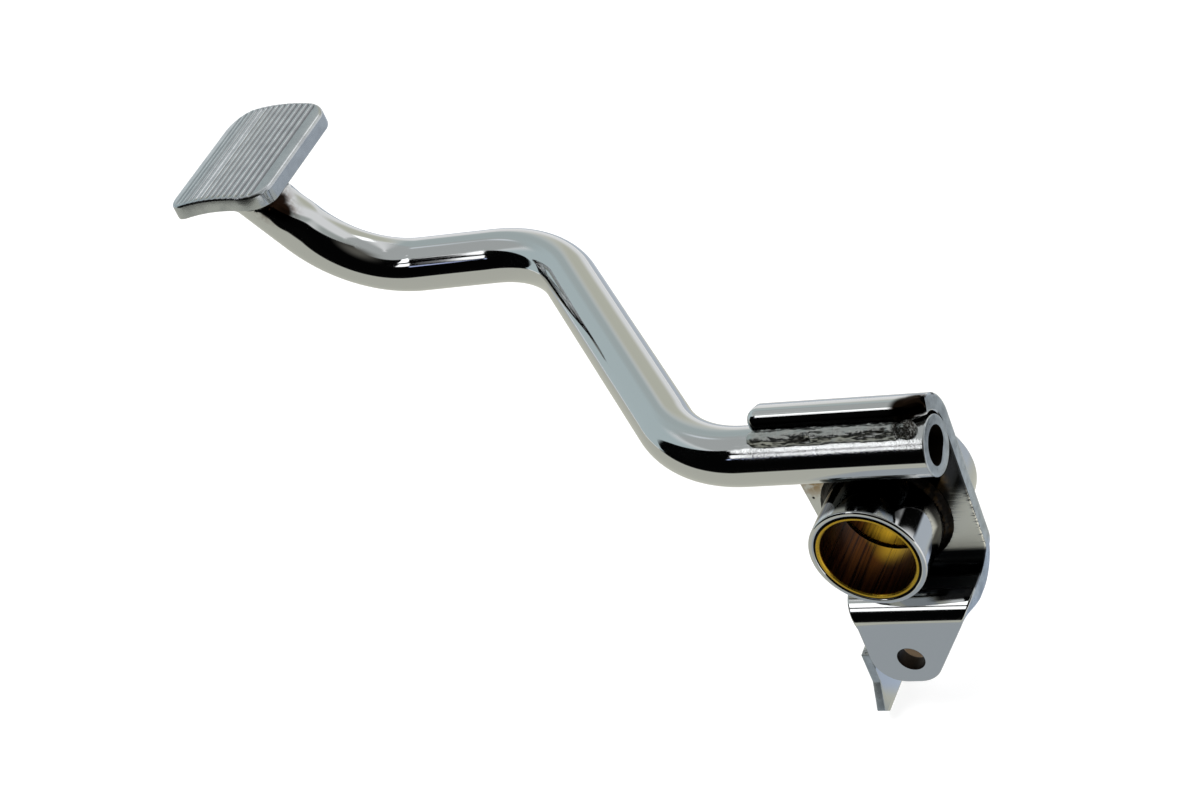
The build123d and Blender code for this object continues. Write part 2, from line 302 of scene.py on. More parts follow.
cards = (
    ("dark_room", pointed(1.50, (-84, 78), (-34, 58), 16, 0.28), "#040404", 1.0, 0.035),
    ("blue_window_wall", on_ball(1.55, (-138, -44), (-36, 52)), "#B9C6C8", 1.0, 0.14),
    ("grey_left_wall", on_ball(1.60, (-165, -95), (14, 58)), "#B0BABA", 1.0, 0.25),
    ("beige_back_wall", on_ball(1.64, (140, 215), (4, 50)), "#C4C4B6", 1.0, 0.30),
    ("grey_right_wall", on_ball(1.58, (66, 112), (2, 66)), "#A9AEAB", 1.0, 0.35),
    ("grey_ceiling", on_ball(1.80, (-180, 180), (46, 90)), "#B2B5B4", 1.0, 0.10),
    ("window_lamp", on_ball(1.40, (-128, -112), (50, 60)), "#F4FAFF", 0.85, 0.48),
    ("dusk", on_ball(1.46, (-8, 96), (26, 78)), "#5C5A54", 1.0, 0.45),
    ("overhead_lamp", on_ball(1.40, (-64, -55), (62.5, 64.5)), "#FFFFFF", 1.2, 0.35),
    ("back_lamp", on_ball(1.40, (148, 182), (38, 56)), "#FFFFFF", 1.7, 0.30),
    ("front_lamp", slanted(1.38, (-40.5, -26), (43, 57), -14), "#FFFFFF", 1.8, 0.08),
    ("inner_lamp", slanted(1.37, (-31, -18), (29, 40), -5), "#FFFFFF", 1.6, 0.12),
    ("high_lamp", on_ball(1.36, (-45, -41.5), (50.5, 53.5)), "#FFFFFF", 1.3, 0.40),
    ("small_lamp", on_ball(1.36, (-30.5, -26.5), (24, 29)), "#C9D6FF", 1.0, 0.40),
    ("black_cloth", on_floor(3 * mm, (-1.6, 1.6), (-2.4, -0.18)), "#050505", 1.0, 0.015),
    ("grey_table", on_floor(2 * mm, (-1.2, 0.09), (-0.30, 0.235)), "#BDBDB2", 1.0, 0.05),
    ("blue_floor", on_floor(1 * mm, (-1.2, 0.70), (-0.04, 0.80)), "#B7BEC6", 1.0, 0.08),
    ("blue_paper", on_floor(2.5 * mm, (-0.03, 0.06), (-0.013, 0.05)), "#AEB9CA", 1.0, 0.12),
    ("slate_paper", on_floor(3.5 * mm, (-0.050, 0.03), (-0.105, -0.011)), "#A3A9AE", 1.0, 0.12),
    ("small_flag", upright(0.052, (0.008, 0.038), (-0.004, 0.036)), "#060606", 1.0, 0.15),
)
for card in cards:
    hang_card(*card)
print("cards:", len(cards))

# %% [markdown]
# Two broad lamps give the floor its shadow. Chrome shows every lamp as a bright patch, and the cards already
# hold those, so these two are hidden from mirrored rays.

# %% Lamps for the soft shadow
lamp_distance = 1.3
lamps = (("key_lamp", -60, 66, 0.7, 9.0), ("fill_lamp", 120, 55, 0.9, 4.0))
for name, azimuth, elevation, size, watts in lamps:
    lamp_data = bpy.data.lights.new(name, "AREA")
    lamp_data.size = size
    lamp_data.energy = watts
    lamp = put(name, lamp_data)
    lamp.location = middle + lamp_distance * toward(azimuth, elevation)
    lamp.rotation_euler = toward(azimuth, elevation).to_track_quat("Z", "Y").to_euler()
    lamp.visible_glossy = False
    print(name, "gives", watts, "W")

# %% [markdown]
# The pedal is made as most chromed parts are: steel is cut, bent and welded, then ground, polished and
# plated. Decorative chrome is a thin, slightly blue mirror that copies the ground under it. A polished tube
# stays a mirror, a ground plate keeps its grinding lines, a sheared edge comes out satin and a weld stays
# rough. So each plated finish below is chrome with its own roughness, and only the bronze bushes and the bare
# holes differ. Their patterns are scaled from sizes in millimetres.


# %% Helpers for finishes
def new_finish(name, hex_colour, roughness):
    """A metal of one colour and roughness: its material, node tree, shader and object coordinates."""
    material = bpy.data.materials.new(name)
    material.use_nodes = True
    tree = material.node_tree
    shader = tree.nodes["Principled BSDF"].inputs
    shader["Base Color"].default_value = linear(hex_colour)
    shader["Metallic"].default_value = 1.0
    shader["Roughness"].default_value = roughness
    return material, tree, shader, add(tree, "ShaderNodeTexCoord", out="Object")


def near(tree, place, reach, *centres):
    """A soft mask: 1 at each centre, falling to 0 at the reach, both in millimetres."""
    mask = 0.0
    for centre in centres:
        here = tuple(x * mm for x in centre)
        away = add(tree, "ShaderNodeVectorMath", DISTANCE, out="Value", _0=place, _1=here)
        spot = add(tree, "ShaderNodeMapRange", SMOOTH, Value=away, From_Min=reach * mm, From_Max=0.0)
        mask = add(tree, "ShaderNodeMath", GREATER, _0=spot, _1=mask)
    return mask


def within(tree, *limits):
    """A soft mask: 1 where every value has passed from its first to its last place, both in millimetres."""
    mask = 1.0
    for value, first, last in limits:
        limit = add(tree, "ShaderNodeMapRange", SMOOTH, Value=value, From_Min=first * mm, From_Max=last * mm)
        mask = add(tree, "ShaderNodeMath", MULTIPLY, _0=limit, _1=mask)
    return mask


def coat(tree, shader, **inputs):
    """Link what a finish has worked out to its shader, by the input's name with _ for a space."""
    for key, value in inputs.items():
        tree.links.new(value, shader[key.replace("_", " ")])


print("finishes start from metallic 1.0 and the default IOR")

# %% [markdown]
# The tube is drawn, bent and buffed, so its chrome is nearly a perfect mirror. Buffing leaves a faint haze.
# Weld spatter roughens it beside the bead, and at the pad the weld's heat has turned a patch straw and
# brown.

# %% Chrome on the polished tube
bead_y, bead_z = -11.25, 36.0
tube_chrome, tree, shader, place = new_finish("bright_chrome_on_polished_tube", "#CACCCD", 0.05)
haze = add(tree, "ShaderNodeTexNoise", Vector=place, Scale=1 / (12 * mm), Detail=3.0)
dull = add(tree, "ShaderNodeMapRange", Value=haze, From_Min=0.3, From_Max=0.75, To_Min=0.03, To_Max=0.08)
along = add(tree, "ShaderNodeSeparateXYZ", out="X", _0=place)
section = add(tree, "ShaderNodeVectorMath", MULTIPLY, _0=place, _1=(0, 1, 1))
bead = (0, bead_y * mm, bead_z * mm)
away = add(tree, "ShaderNodeVectorMath", DISTANCE, out="Value", _0=section, _1=bead)
spatter = within(tree, (away, 7.5, 4.5), (along, -28, -20))
specks = add(tree, "ShaderNodeTexNoise", Vector=place, Scale=1 / (0.6 * mm), Detail=3.0)
relief = add(tree, "ShaderNodeMath", MULTIPLY, _0=specks, _1=spatter)
bump = add(tree, "ShaderNodeBump", Strength=0.6, Distance=0.05 * mm, Height=relief)
rough = add(tree, "ShaderNodeMath", MULTIPLY_ADD, _0=spatter, _1=0.10, _2=dull)
heat = near(tree, place, 7.5, (-192.0, 63.5, 73.5), (-190.5, 67.5, 74.0), (-190.0, 65.0, 71.0))
blotch = add(tree, "ShaderNodeTexNoise", Vector=place, Scale=1 / (1.6 * mm), Detail=3.0)
blotch = add(tree, "ShaderNodeMapRange", SMOOTH, Value=blotch, From_Min=0.30, From_Max=0.62)
burnt = add(tree, "ShaderNodeMath", MULTIPLY, _0=heat, _1=blotch)
char = add(tree, "ShaderNodeMapRange", SMOOTH, Value=heat, From_Min=0.35, From_Max=0.8)
colour = add(tree, "ShaderNodeMix", COLOURS, out=2, _0=burnt, _6="#CACCCD", _7="#5A3B22")
colour = add(tree, "ShaderNodeMix", COLOURS, out=2, _0=char, _6=colour, _7="#1A100A")
coat(tree, shader, Base_Color=colour, Roughness=rough, Normal=bump)
print("made", tube_chrome.name)

# %% [markdown]
# The bracket is pressed from plate. Its web was ground at the right of the boss before plating, which leaves
# streaks along X that spread every reflection, and that ground patch is also tinted a lighter beige as a
# painted sheen. Painted shade darkens the recess between the boss and the arm, the bend below the web and the
# place under the flange's lip, and the shelf below the boss is painted a darker grey-blue as shade and made
# rougher. Weld heat tints the plate gold beside the boss, and a painted dark brown reflection lies on the
# flange's eased corner. Two small pits show near the left edge, and handling has left mottled marks on the
# lever tab.

# %% Ground web and painted shade of the pressed plate
plate_chrome, tree, shader, place = new_finish("chrome_on_pressed_plate", "#CACCCC", 0.07)
x, y, z = [add(tree, "ShaderNodeSeparateXYZ", out=axis, _0=place) for axis in "XYZ"]
stretched = add(tree, "ShaderNodeMapping", Vector=place, Scale=(1 / 26, 1, 1))
streaks = add(tree, "ShaderNodeTexNoise", Vector=stretched, Scale=1 / (0.35 * mm), Detail=2.0)
lean = add(tree, "ShaderNodeMath", MULTIPLY_ADD, _0=z, _1=-0.57, _2=x)
ragged_left = add(tree, "ShaderNodeMath", MULTIPLY_ADD, _0=streaks, _1=7 * mm, _2=lean)
ragged_right = add(tree, "ShaderNodeMath", MULTIPLY_ADD, _0=streaks, _1=5 * mm, _2=x)
web = ((y, -1.6, -0.9), (y, 0.2, -0.2))
# Painted sheen: the ground patch of the web is also tinted a lighter beige, besides its real roughness and
# streaks.
ground_web_and_sheen = within(tree, *web, (ragged_left, 19.0, 25.0), (ragged_right, 27.2, 25.6), (z, 9.0, 1.0))
# Painted shade: the recess, the bend below the web, the shelf and the place under the lip are darkened.
recess_shade = within(tree, *web, (x, -15, -11))
low_bend_shade = within(tree, (z, -12.5, -14.5), (y, -5.5, -4.5), (y, 0.2, -0.2))
shelf_rough_and_shaded = within(tree, (y, -9.5, -8.0), (y, -3.0, -4.5), (z, -20.8, -20.4), (z, -14.0, -17.0))
under_lip_shade = within(tree, (y, -8.7, -9.3), (z, 39.6, 38.9), (z, 20, 30))
haze = add(tree, "ShaderNodeTexNoise", Vector=place, Scale=1 / (7 * mm), Detail=3.0)
dull = add(tree, "ShaderNodeMapRange", Value=haze, From_Min=0.3, From_Max=0.75, To_Min=0.05, To_Max=0.11)
rough = add(tree, "ShaderNodeMath", MULTIPLY_ADD, _0=ground_web_and_sheen, _1=0.32, _2=dull)
rough = add(tree, "ShaderNodeMath", MULTIPLY_ADD, _0=shelf_rough_and_shaded, _1=0.26, _2=rough)
print("roughness rises by 0.32 where the web is ground")

# %% Heat, pits, marks and a painted reflection on the pressed plate
heat = near(tree, place, 7.0, (-17.5, -0.6, 11.0), (-14.0, -0.6, 15.0), (10.5, -1.0, 13.0), (14.5, -0.6, 9.5))
blotch = add(tree, "ShaderNodeTexNoise", Vector=place, Scale=1 / (2.2 * mm), Detail=3.0)
blotch = add(tree, "ShaderNodeMapRange", SMOOTH, Value=blotch, From_Min=0.38, From_Max=0.6, To_Min=0.15,
             To_Max=0.9)
gold = add(tree, "ShaderNodeMath", MULTIPLY, _0=heat, _1=blotch)
# Painted reflection: a dark brown patch on the flange's eased corner.
corner_reflection = near(tree, place, 7.0, (21.0, -9.0, 40.5), (23.5, -7.5, 41.2))
corner_reflection = add(tree, "ShaderNodeMapRange", SMOOTH, Value=corner_reflection, From_Min=0.15, From_Max=0.6)
large_pit, small_pit = near(tree, place, 1.0, (-14.9, -0.6, 6.4)), near(tree, place, 0.6, (-18.9, -0.6, 6.1))
pits = add(tree, "ShaderNodeMath", GREATER, _0=large_pit, _1=small_pit)
pits = add(tree, "ShaderNodeMapRange", SMOOTH, Value=pits, From_Min=0.2, From_Max=0.45)
colour = "#CACCCC"
# Recess, low bend, shelf and under-lip tints are painted shade, the ground web's is a painted sheen and the
# corner's a painted reflection; gold and pits are real.
tints = ((recess_shade, "#2C2D2E"), (ground_web_and_sheen, "#F2EFE2"), (low_bend_shade, "#1B1C1E"), (shelf_rough_and_shaded, "#7A8087"),
         (gold, "#8A6A32"), (under_lip_shade, "#0C0C0C"), (corner_reflection, "#1C140E"), (pits, "#15120F"))
for mask, tint in tints:
    colour = add(tree, "ShaderNodeMix", COLOURS, out=2, _0=mask, _6=colour, _7=tint)
marks = near(tree, place, 3.4, (11.6, -15.2, -32.2), (13.6, -15.2, -29.8), (7.6, -15.2, -31.8))
lumps = add(tree, "ShaderNodeTexNoise", Vector=place, Scale=1 / (0.9 * mm), Detail=4.0)
mottle = add(tree, "ShaderNodeMath", MULTIPLY, _0=marks, _1=lumps)
scratch = add(tree, "ShaderNodeMath", MULTIPLY, _0=ground_web_and_sheen, _1=streaks)
relief = add(tree, "ShaderNodeMath", MULTIPLY_ADD, _0=mottle, _1=1.5, _2=scratch)
relief = add(tree, "ShaderNodeMath", SUBTRACT, _0=relief, _1=pits)
bump = add(tree, "ShaderNodeBump", Strength=0.5, Distance=0.06 * mm, Height=relief)
coat(tree, shader, Base_Color=colour, Roughness=rough, Normal=bump)
print("made", plate_chrome.name)

# %% [markdown]
# The boss is polished like the tube. Its upper side lies in the same recess as the web and is painted dark as
# shade, and so are its foot at the web and its lower right flank above the shelf.

# %% Chrome on the turned boss
boss_chrome, tree, shader, place = new_finish("bright_chrome_on_turned_boss", "#CACCCD", 0.06)
x, y, z = [add(tree, "ShaderNodeSeparateXYZ", out=axis, _0=place) for axis in "XYZ"]
cloud = add(tree, "ShaderNodeTexNoise", Vector=place, Scale=1 / (5 * mm), Detail=2.0)
up = add(tree, "ShaderNodeMath", MULTIPLY_ADD, _0=cloud, _1=3 * mm, _2=z)
# Painted shade: the upper side in the recess, the foot at the web and the lower right flank are darkened.
recess_shade = within(tree, (up, 9.0, 14.0), (y, -17.6, -15.5), (y, 0.0, -0.5))
foot_shade = within(tree, (y, -8.5, -5.5), (y, 1.0, 0.0))
flank_shade = within(tree, (z, 0.8, -1.2), (x, 4.0, 8.0), (y, -16.5, -14.0), (y, 1.0, 0.0))
foot_shade = add(tree, "ShaderNodeMath", GREATER, _0=foot_shade, _1=flank_shade)
colour = add(tree, "ShaderNodeMix", COLOURS, out=2, _0=recess_shade, _6="#CACCCD", _7="#2C2D2E")
colour = add(tree, "ShaderNodeMix", COLOURS, out=2, _0=foot_shade, _6=colour, _7="#1C1C1D")
coat(tree, shader, Base_Color=colour)
print("made", boss_chrome.name)

# %% [markdown]
# Sheared and sawn edges are only deburred, so their chrome is satin: a fine, even grain with small shadows.
# The tube's bore and the rod hole take almost no plate at all and stay dark and dry.

# %% Satin edges and bare holes
edge_chrome, tree, shader, place = new_finish("satin_chrome_on_cut_steel", "#BCC2C6", 0.33)
fine = add(tree, "ShaderNodeTexNoise", Vector=place, Scale=1 / (0.7 * mm), Detail=4.0)
rough = add(tree, "ShaderNodeMapRange", Value=fine, From_Min=0.3, From_Max=0.7, To_Min=0.26, To_Max=0.42)
cloud = add(tree, "ShaderNodeTexNoise", Vector=place, Scale=1 / (2.4 * mm), Detail=3.0)
cloud = add(tree, "ShaderNodeMapRange", Value=cloud, From_Min=0.35, From_Max=0.7)
bump = add(tree, "ShaderNodeBump", Strength=0.35, Distance=0.05 * mm, Height=fine)
colour = add(tree, "ShaderNodeMix", COLOURS, out=2, _0=cloud, _6="#C3C9CC", _7="#A3A9AC")
coat(tree, shader, Base_Color=colour, Roughness=rough, Normal=bump)

bare_steel, tree, shader, place = new_finish("bare_steel_of_the_holes", "#1B1816", 0.6)
cloud = add(tree, "ShaderNodeTexNoise", Vector=place, Scale=1 / (2 * mm), Detail=5.0)
colour = add(tree, "ShaderNodeMix", COLOURS, out=2, _0=cloud, _6="#0C0A09", _7="#3A3027")
coat(tree, shader, Base_Color=colour)
print("made", edge_chrome.name, "and", bare_steel.name)

# %% [markdown]
# The bushes are bearing bronze, bored and reamed, which leaves fine lines along the bore. The bore is coloured
# dark brown, and a painted yellow reflection lies on it beside the oil gap. The outer chamfer of each mouth is
# painted near-black as shade, and the rest of the mouth stays bright yellow.

# %% Bearing bronze
bore_radius = 12.7
shade_from, shade_full = 13.70, 13.80
bronze, tree, shader, place = new_finish("reamed_bearing_bronze", "#C39A2B", 0.30)
section = add(tree, "ShaderNodeVectorMath", MULTIPLY, _0=place, _1=(1, 0, 1))
from_axis = add(tree, "ShaderNodeVectorMath", {"operation": "LENGTH"}, out="Value", _0=section)
stretched = add(tree, "ShaderNodeMapping", Vector=place, Scale=(1, 1 / 45, 1))
lines = add(tree, "ShaderNodeTexNoise", Vector=stretched, Scale=1 / (0.55 * mm), Detail=3.0)
marks = add(tree, "ShaderNodeMapRange", SMOOTH, Value=lines, From_Min=0.3, From_Max=0.7)
# Painted reflection: a bright yellow patch on the bore beside the oil gap.
reflection_patch = near(tree, place, 8.0, (-5.0, 4.0, -11.6), (-1.0, -0.5, -12.6))
streak = add(tree, "ShaderNodeMapRange", Value=lines, From_Min=0.2, From_Max=0.55, To_Min=0.35, To_Max=1.0)
painted_reflection = add(tree, "ShaderNodeMath", MULTIPLY, _0=reflection_patch, _1=streak)
# The bore is coloured dark brown, with lighter lines along it.
bore_colour = add(tree, "ShaderNodeMix", COLOURS, out=2, _0=marks, _6="#200D04", _7="#5A3209")
bore_colour = add(tree, "ShaderNodeMix", COLOURS, out=2, _0=painted_reflection, _6=bore_colour, _7="#C9A02A")
in_bore = within(tree, (from_axis, bore_radius + 0.22, bore_radius + 0.1))
# Painted shade: beyond this radius the outer chamfer at the mouth goes near-black.
chamfer_shade = within(tree, (from_axis, shade_from, shade_full))
colour = add(tree, "ShaderNodeMix", COLOURS, out=2, _0=in_bore, _6="#C9A336", _7=bore_colour)
colour = add(tree, "ShaderNodeMix", COLOURS, out=2, _0=chamfer_shade, _6=colour, _7="#0B0805")
rough = add(tree, "ShaderNodeMapRange", Value=lines, From_Min=0.3, From_Max=0.7, To_Min=0.24, To_Max=0.40)
bump = add(tree, "ShaderNodeBump", Strength=0.25, Distance=0.04 * mm, Height=lines)
coat(tree, shader, Base_Color=colour, Roughness=rough, Normal=bump)
print("made", bronze.name)

# %% [markdown]
# A weld bead is rough, and chrome covers it thinly: the high spots shine grey and the hollows stay dark with
# scale. The mesh carries a "hollow" value for each point, made together with its lumps, so colour and shape
# The weld round the boss lies in the recess and ran hot for its size: its brown is heat tint, and its
# near-black is painted shade.

# %% Plated and scorched welds, the boss weld darkened as painted shade
bead_chrome, tree, shader, place = new_finish("thin_chrome_on_weld_bead", "#8E908E", 0.4)
hollow = add(tree, "ShaderNodeAttribute", {"attribute_name": "hollow"}, out="Fac")
deep = add(tree, "ShaderNodeMapRange", SMOOTH, Value=hollow, From_Min=0.62, From_Max=1.0)
fine = add(tree, "ShaderNodeTexNoise", Vector=place, Scale=1 / (0.5 * mm), Detail=4.0)
crater = near(tree, place, 4.4, (21.4, -13.0, 36.6), (20.6, -12.0, 39.0))
crater = add(tree, "ShaderNodeMapRange", SMOOTH, Value=crater, From_Min=0.05, From_Max=0.35)
scale = add(tree, "ShaderNodeMapRange", Value=fine, From_Min=0.72, From_Max=0.45)
scale = add(tree, "ShaderNodeMath", MULTIPLY, _0=crater, _1=scale)
dark = add(tree, "ShaderNodeMath", GREATER, _0=deep, _1=scale)
rough = add(tree, "ShaderNodeMapRange", Value=dark, To_Min=0.30, To_Max=0.55)
bump = add(tree, "ShaderNodeBump", Strength=0.5, Distance=0.08 * mm, Height=fine)
colour = add(tree, "ShaderNodeMix", COLOURS, out=2, _0=dark, _6="#B0B2AF", _7="#3A3733")
coat(tree, shader, Base_Color=colour, Roughness=rough, Normal=bump)

scorched_and_shaded, tree, shader, place = new_finish("heat_tinted_weld_in_painted_shade", "#6A5A40", 0.42)
hollow = add(tree, "ShaderNodeAttribute", {"attribute_name": "hollow"}, out="Fac")
deep = add(tree, "ShaderNodeMapRange", SMOOTH, Value=hollow, From_Min=0.35, From_Max=0.7)
cloud = add(tree, "ShaderNodeTexNoise", Vector=place, Scale=1 / (2.5 * mm), Detail=3.0)
cloud = add(tree, "ShaderNodeMapRange", Value=cloud, From_Min=0.4, From_Max=0.65)
fine = add(tree, "ShaderNodeTexNoise", Vector=place, Scale=1 / (0.5 * mm), Detail=4.0)
bump = add(tree, "ShaderNodeBump", Strength=0.5, Distance=0.08 * mm, Height=fine)
# Painted shade: the boss weld is near-black, clouded with heat-tint brown.
colour = add(tree, "ShaderNodeMix", COLOURS, out=2, _0=cloud, _6="#161515", _7="#2C2112")
colour = add(tree, "ShaderNodeMix", COLOURS, out=2, _0=deep, _6=colour, _7="#100E0C")
coat(tree, shader, Base_Color=colour, Normal=bump)
print("made", bead_chrome.name, "and", scorched_and_shaded.name)

# %% [markdown]
# The pad is cast, and its chrome copies the fine sand of the mould: a satin, slightly mottled silver. The
# grooves are coloured darker by their depth, which the mesh carries as a "groove" value.

# %% Chrome on the cast pad
cast_chrome, tree, shader, place = new_finish("satin_chrome_on_cast_steel", "#B4B8BB", 0.22)
cloud = add(tree, "ShaderNodeTexNoise", Vector=place, Scale=1 / (4 * mm), Detail=3.0)
rough = add(tree, "ShaderNodeMapRange", Value=cloud, From_Min=0.3, From_Max=0.7, To_Min=0.17, To_Max=0.25)
shade = add(tree, "ShaderNodeMapRange", Value=cloud, From_Min=0.35, From_Max=0.7)
groove = add(tree, "ShaderNodeAttribute", {"attribute_name": "groove"}, out="Fac")
colour = add(tree, "ShaderNodeMix", COLOURS, out=2, _0=shade, _6="#BABEC1", _7="#ADB1B5")
colour = add(tree, "ShaderNodeMix", COLOURS, out=2, _0=groove, _6=colour, _7="#66696D")
sand = add(tree, "ShaderNodeTexNoise", Vector=place, Scale=1 / (0.45 * mm), Detail=4.0)
bump = add(tree, "ShaderNodeBump", Strength=0.3, Distance=0.04 * mm, Height=sand)
coat(tree, shader, Base_Color=colour, Roughness=rough, Normal=bump)
print("made", cast_chrome.name)

# %% [markdown]
# A few small helpers turn what is built into finished pieces: points and faces become a mesh, modifiers
# become plain geometry, and a finished piece gets its body and the solid that it stands for. Others press
# dents, round edges and close a sheet between its two sides.


# %% Helpers for pieces
def join_points(mesh, gap, outwards=False):
    """Join points of a mesh that lie within a gap in millimetres, and turn its faces outwards if asked."""
    work = bmesh.new()
    work.from_mesh(mesh)
    bmesh.ops.remove_doubles(work, verts=work.verts, dist=gap * mm)
    if outwards:
        bmesh.ops.recalc_face_normals(work, faces=work.faces)
    work.to_mesh(mesh)
    work.free()


def new_piece(name, points, faces, *finishes):
    """A closed mesh object at the origin, from points in millimetres, with its faces turned outwards."""
    mesh = bpy.data.meshes.new(name)
    mesh.from_pydata([Vector(p) * mm for p in points], [], faces)
    join_points(mesh, 0.001, outwards=True)
    for finish in finishes:
        mesh.materials.append(finish)
    return put(name, mesh)


def plain(holder):
    """The result of an object's modifiers as a plain mesh object of the same name. The holder goes."""
    name = holder.name
    mesh = bpy.data.meshes.new_from_object(holder.evaluated_get(bpy.context.evaluated_depsgraph_get()))
    bpy.data.objects.remove(holder)
    mesh.name = name
    return put(name, mesh)


def merged_copy(node, name):
    """A copy of a solid's mesh with its loose triangles joined up."""
    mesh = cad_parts[node].data.copy()
    mesh.materials.clear()
    join_points(mesh, 0.002)
    mesh.name = name
    return put(name, mesh)


def dress(piece, node, sharp=35):
    """Smooth a finished piece, tie it to the pedal and let it stand for its solid."""
    piece.data.shade_smooth()
    piece.data.set_sharp_from_angle(angle=radians(sharp))
    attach(piece, "root")
    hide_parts(node)
    places = [v.co for v in piece.data.vertices]
    size = [round((max(p[k] for p in places) - min(p[k] for p in places)) / mm, 1) for k in range(3)]
    print(piece.name, "has", len(piece.data.polygons), "faces and measures", size, "mm")


def dent(piece, centre, reach, depth):
    """Press a round dent of a depth in millimetres, or raise a lump where the depth is negative."""
    spot = Vector(centre) * mm
    normals = [v.normal.copy() for v in piece.data.vertices]
    for vertex, normal in zip(piece.data.vertices, normals):
        share = 1 - ((vertex.co - spot).length / (reach * mm)) ** 2
        if share > 0:
            vertex.co -= normal * depth * mm * share ** 2


def drop(gap, radius):
    """How far a rounded edge falls away at a gap from the rim."""
    return radius - sqrt(max(radius ** 2 - max(radius - gap, 0) ** 2, 0))


def closed_sheet(rows, columns):
    """Faces of two equal grids of points, one after the other, and the walls between their rims."""
    border = ([j for j in range(columns)] + [i * columns + columns - 1 for i in range(1, rows)]
              + [(rows - 1) * columns + j for j in range(columns - 2, -1, -1)]
              + [i * columns for i in range(rows - 2, 0, -1)])
    sheet = grid_faces(rows, columns)
    far = rows * columns
    walls = [(p, q, far + q, far + p) for p, q in zip(border, border[1:] + border[:1])]
    return sheet + [tuple(far + k for k in face) for face in sheet], walls


print("solids to dress:", len(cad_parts))


# %% Helpers for geometry trees
def new_tree(name, **inputs):
    """A geometry tree with named inputs, given as socket kinds. Returns the tree and its input sockets."""
    tree = bpy.data.node_groups.new(name, "GeometryNodeTree")
    tree.interface.new_socket("Geometry", in_out="INPUT", socket_type="NodeSocketGeometry")
    tree.interface.new_socket("Geometry", in_out="OUTPUT", socket_type="NodeSocketGeometry")
    for label, kind in inputs.items():
        tree.interface.new_socket(label, in_out="INPUT", socket_type="NodeSocket" + kind)
    return tree, tree.nodes.new("NodeGroupInput").outputs


def run_tree(holder, tree, **values):
    """Run a geometry tree on an object with its inputs set, and keep the plain result."""
    modifier = holder.modifiers.new(tree.name, "NODES")
    modifier.node_group = tree
    for item in tree.interface.items_tree:
        if item.in_out == "INPUT" and item.name in values:
            modifier[item.identifier] = values[item.name]
    return plain(holder)


print("Blender", bpy.app.version_string)

# %% [markdown]
# The arm is one thick-walled tube with three bends, cut square at the bracket and fitted to the pad. It
# could be a curve with a bevel, but a Geometry Nodes tree also gives it a real bore, rings of even length,
# the slight waviness of bent tube, and spatter beside the weld, each with a named input.

# %% Nodes that make a bent tube
tree, given = new_tree(
    "bent_tube", bend_radius="Float", tube_radius="Float", bore_radius="Float", ring_step="Float",
    bore_step="Float", sides="Int", wave_height="Float", wave_length="Float", spatter_height="Float",
    spatter_size="Float", spatter_reach="Float", weld_start="Vector", weld_end="Vector", seed="Float",
    outside_finish="Material", bore_finish="Material")
bent = add(tree, "GeometryNodeFilletCurve", {"mode": "POLY"}, Curve=given["Geometry"], Count=64,
           Radius=given["bend_radius"], Limit_Radius=True)
walls = []
for radius, step in ((given["tube_radius"], given["ring_step"]), (given["bore_radius"], given["bore_step"])):
    even = add(tree, "GeometryNodeResampleCurve", {"mode": "LENGTH"}, Curve=bent, Length=step)
    ring = add(tree, "GeometryNodeCurvePrimitiveCircle", Resolution=given["sides"], Radius=radius)
    walls.append(add(tree, "GeometryNodeCurveToMesh", Curve=even, Profile_Curve=ring))
where = add(tree, "GeometryNodeInputPosition")
fineness = [add(tree, "ShaderNodeMath", DIVIDE, _0=1.0, _1=given[size])
            for size in ("wave_length", "spatter_size")]
waves, specks = [add(tree, "ShaderNodeTexNoise", {"noise_dimensions": "4D"}, Vector=where, W=given["seed"],
                     Detail=1.0, Scale=scale) for scale in fineness]
weld_line = add(tree, "GeometryNodeMeshLine", {"mode": "END_POINTS"}, Count=2,
                Start_Location=given["weld_start"], Offset=given["weld_end"])
apart = add(tree, "GeometryNodeProximity", {"target_element": "EDGES"}, out="Distance", _0=weld_line)
beside = add(tree, "ShaderNodeMapRange", SMOOTH, Value=apart, From_Min=given["spatter_reach"], From_Max=0.0)
rise = add(tree, "ShaderNodeMath", SUBTRACT, _0=waves, _1=0.5)
rise = add(tree, "ShaderNodeMath", MULTIPLY, _0=rise, _1=given["wave_height"])
flick = add(tree, "ShaderNodeMath", SUBTRACT, _0=specks, _1=0.5)
flick = add(tree, "ShaderNodeMath", MULTIPLY, _0=flick, _1=given["spatter_height"])
rise = add(tree, "ShaderNodeMath", MULTIPLY_ADD, _0=flick, _1=beside, _2=rise)
push = add(tree, "ShaderNodeVectorMath", SCALE, _0=add(tree, "GeometryNodeInputNormal"),
           Scale=rise)
outside = add(tree, "GeometryNodeSetPosition", Geometry=walls[0], Offset=push)
bore = add(tree, "GeometryNodeFlipFaces", Mesh=walls[1])
bore = add(tree, "GeometryNodeStoreNamedAttribute", {"data_type": "BOOLEAN", "domain": "FACE"},
           Geometry=bore, Name="in_bore", Value=True)
joined = tree.nodes.new("GeometryNodeJoinGeometry")
for wall in (bore, outside):
    tree.links.new(wall, joined.inputs[0])
real = add(tree, "GeometryNodeRealizeInstances", Geometry=joined.outputs[0])
inside = add(tree, "GeometryNodeInputNamedAttribute", {"data_type": "BOOLEAN"}, Name="in_bore")
done = add(tree, "GeometryNodeSetMaterial", Geometry=real, Material=given["outside_finish"])
done = add(tree, "GeometryNodeSetMaterial", Geometry=done, Selection=inside, Material=given["bore_finish"])
add(tree, "NodeGroupOutput", Geometry=done)
tube_tree = tree
print("bent_tube has", len(tree.nodes), "nodes")

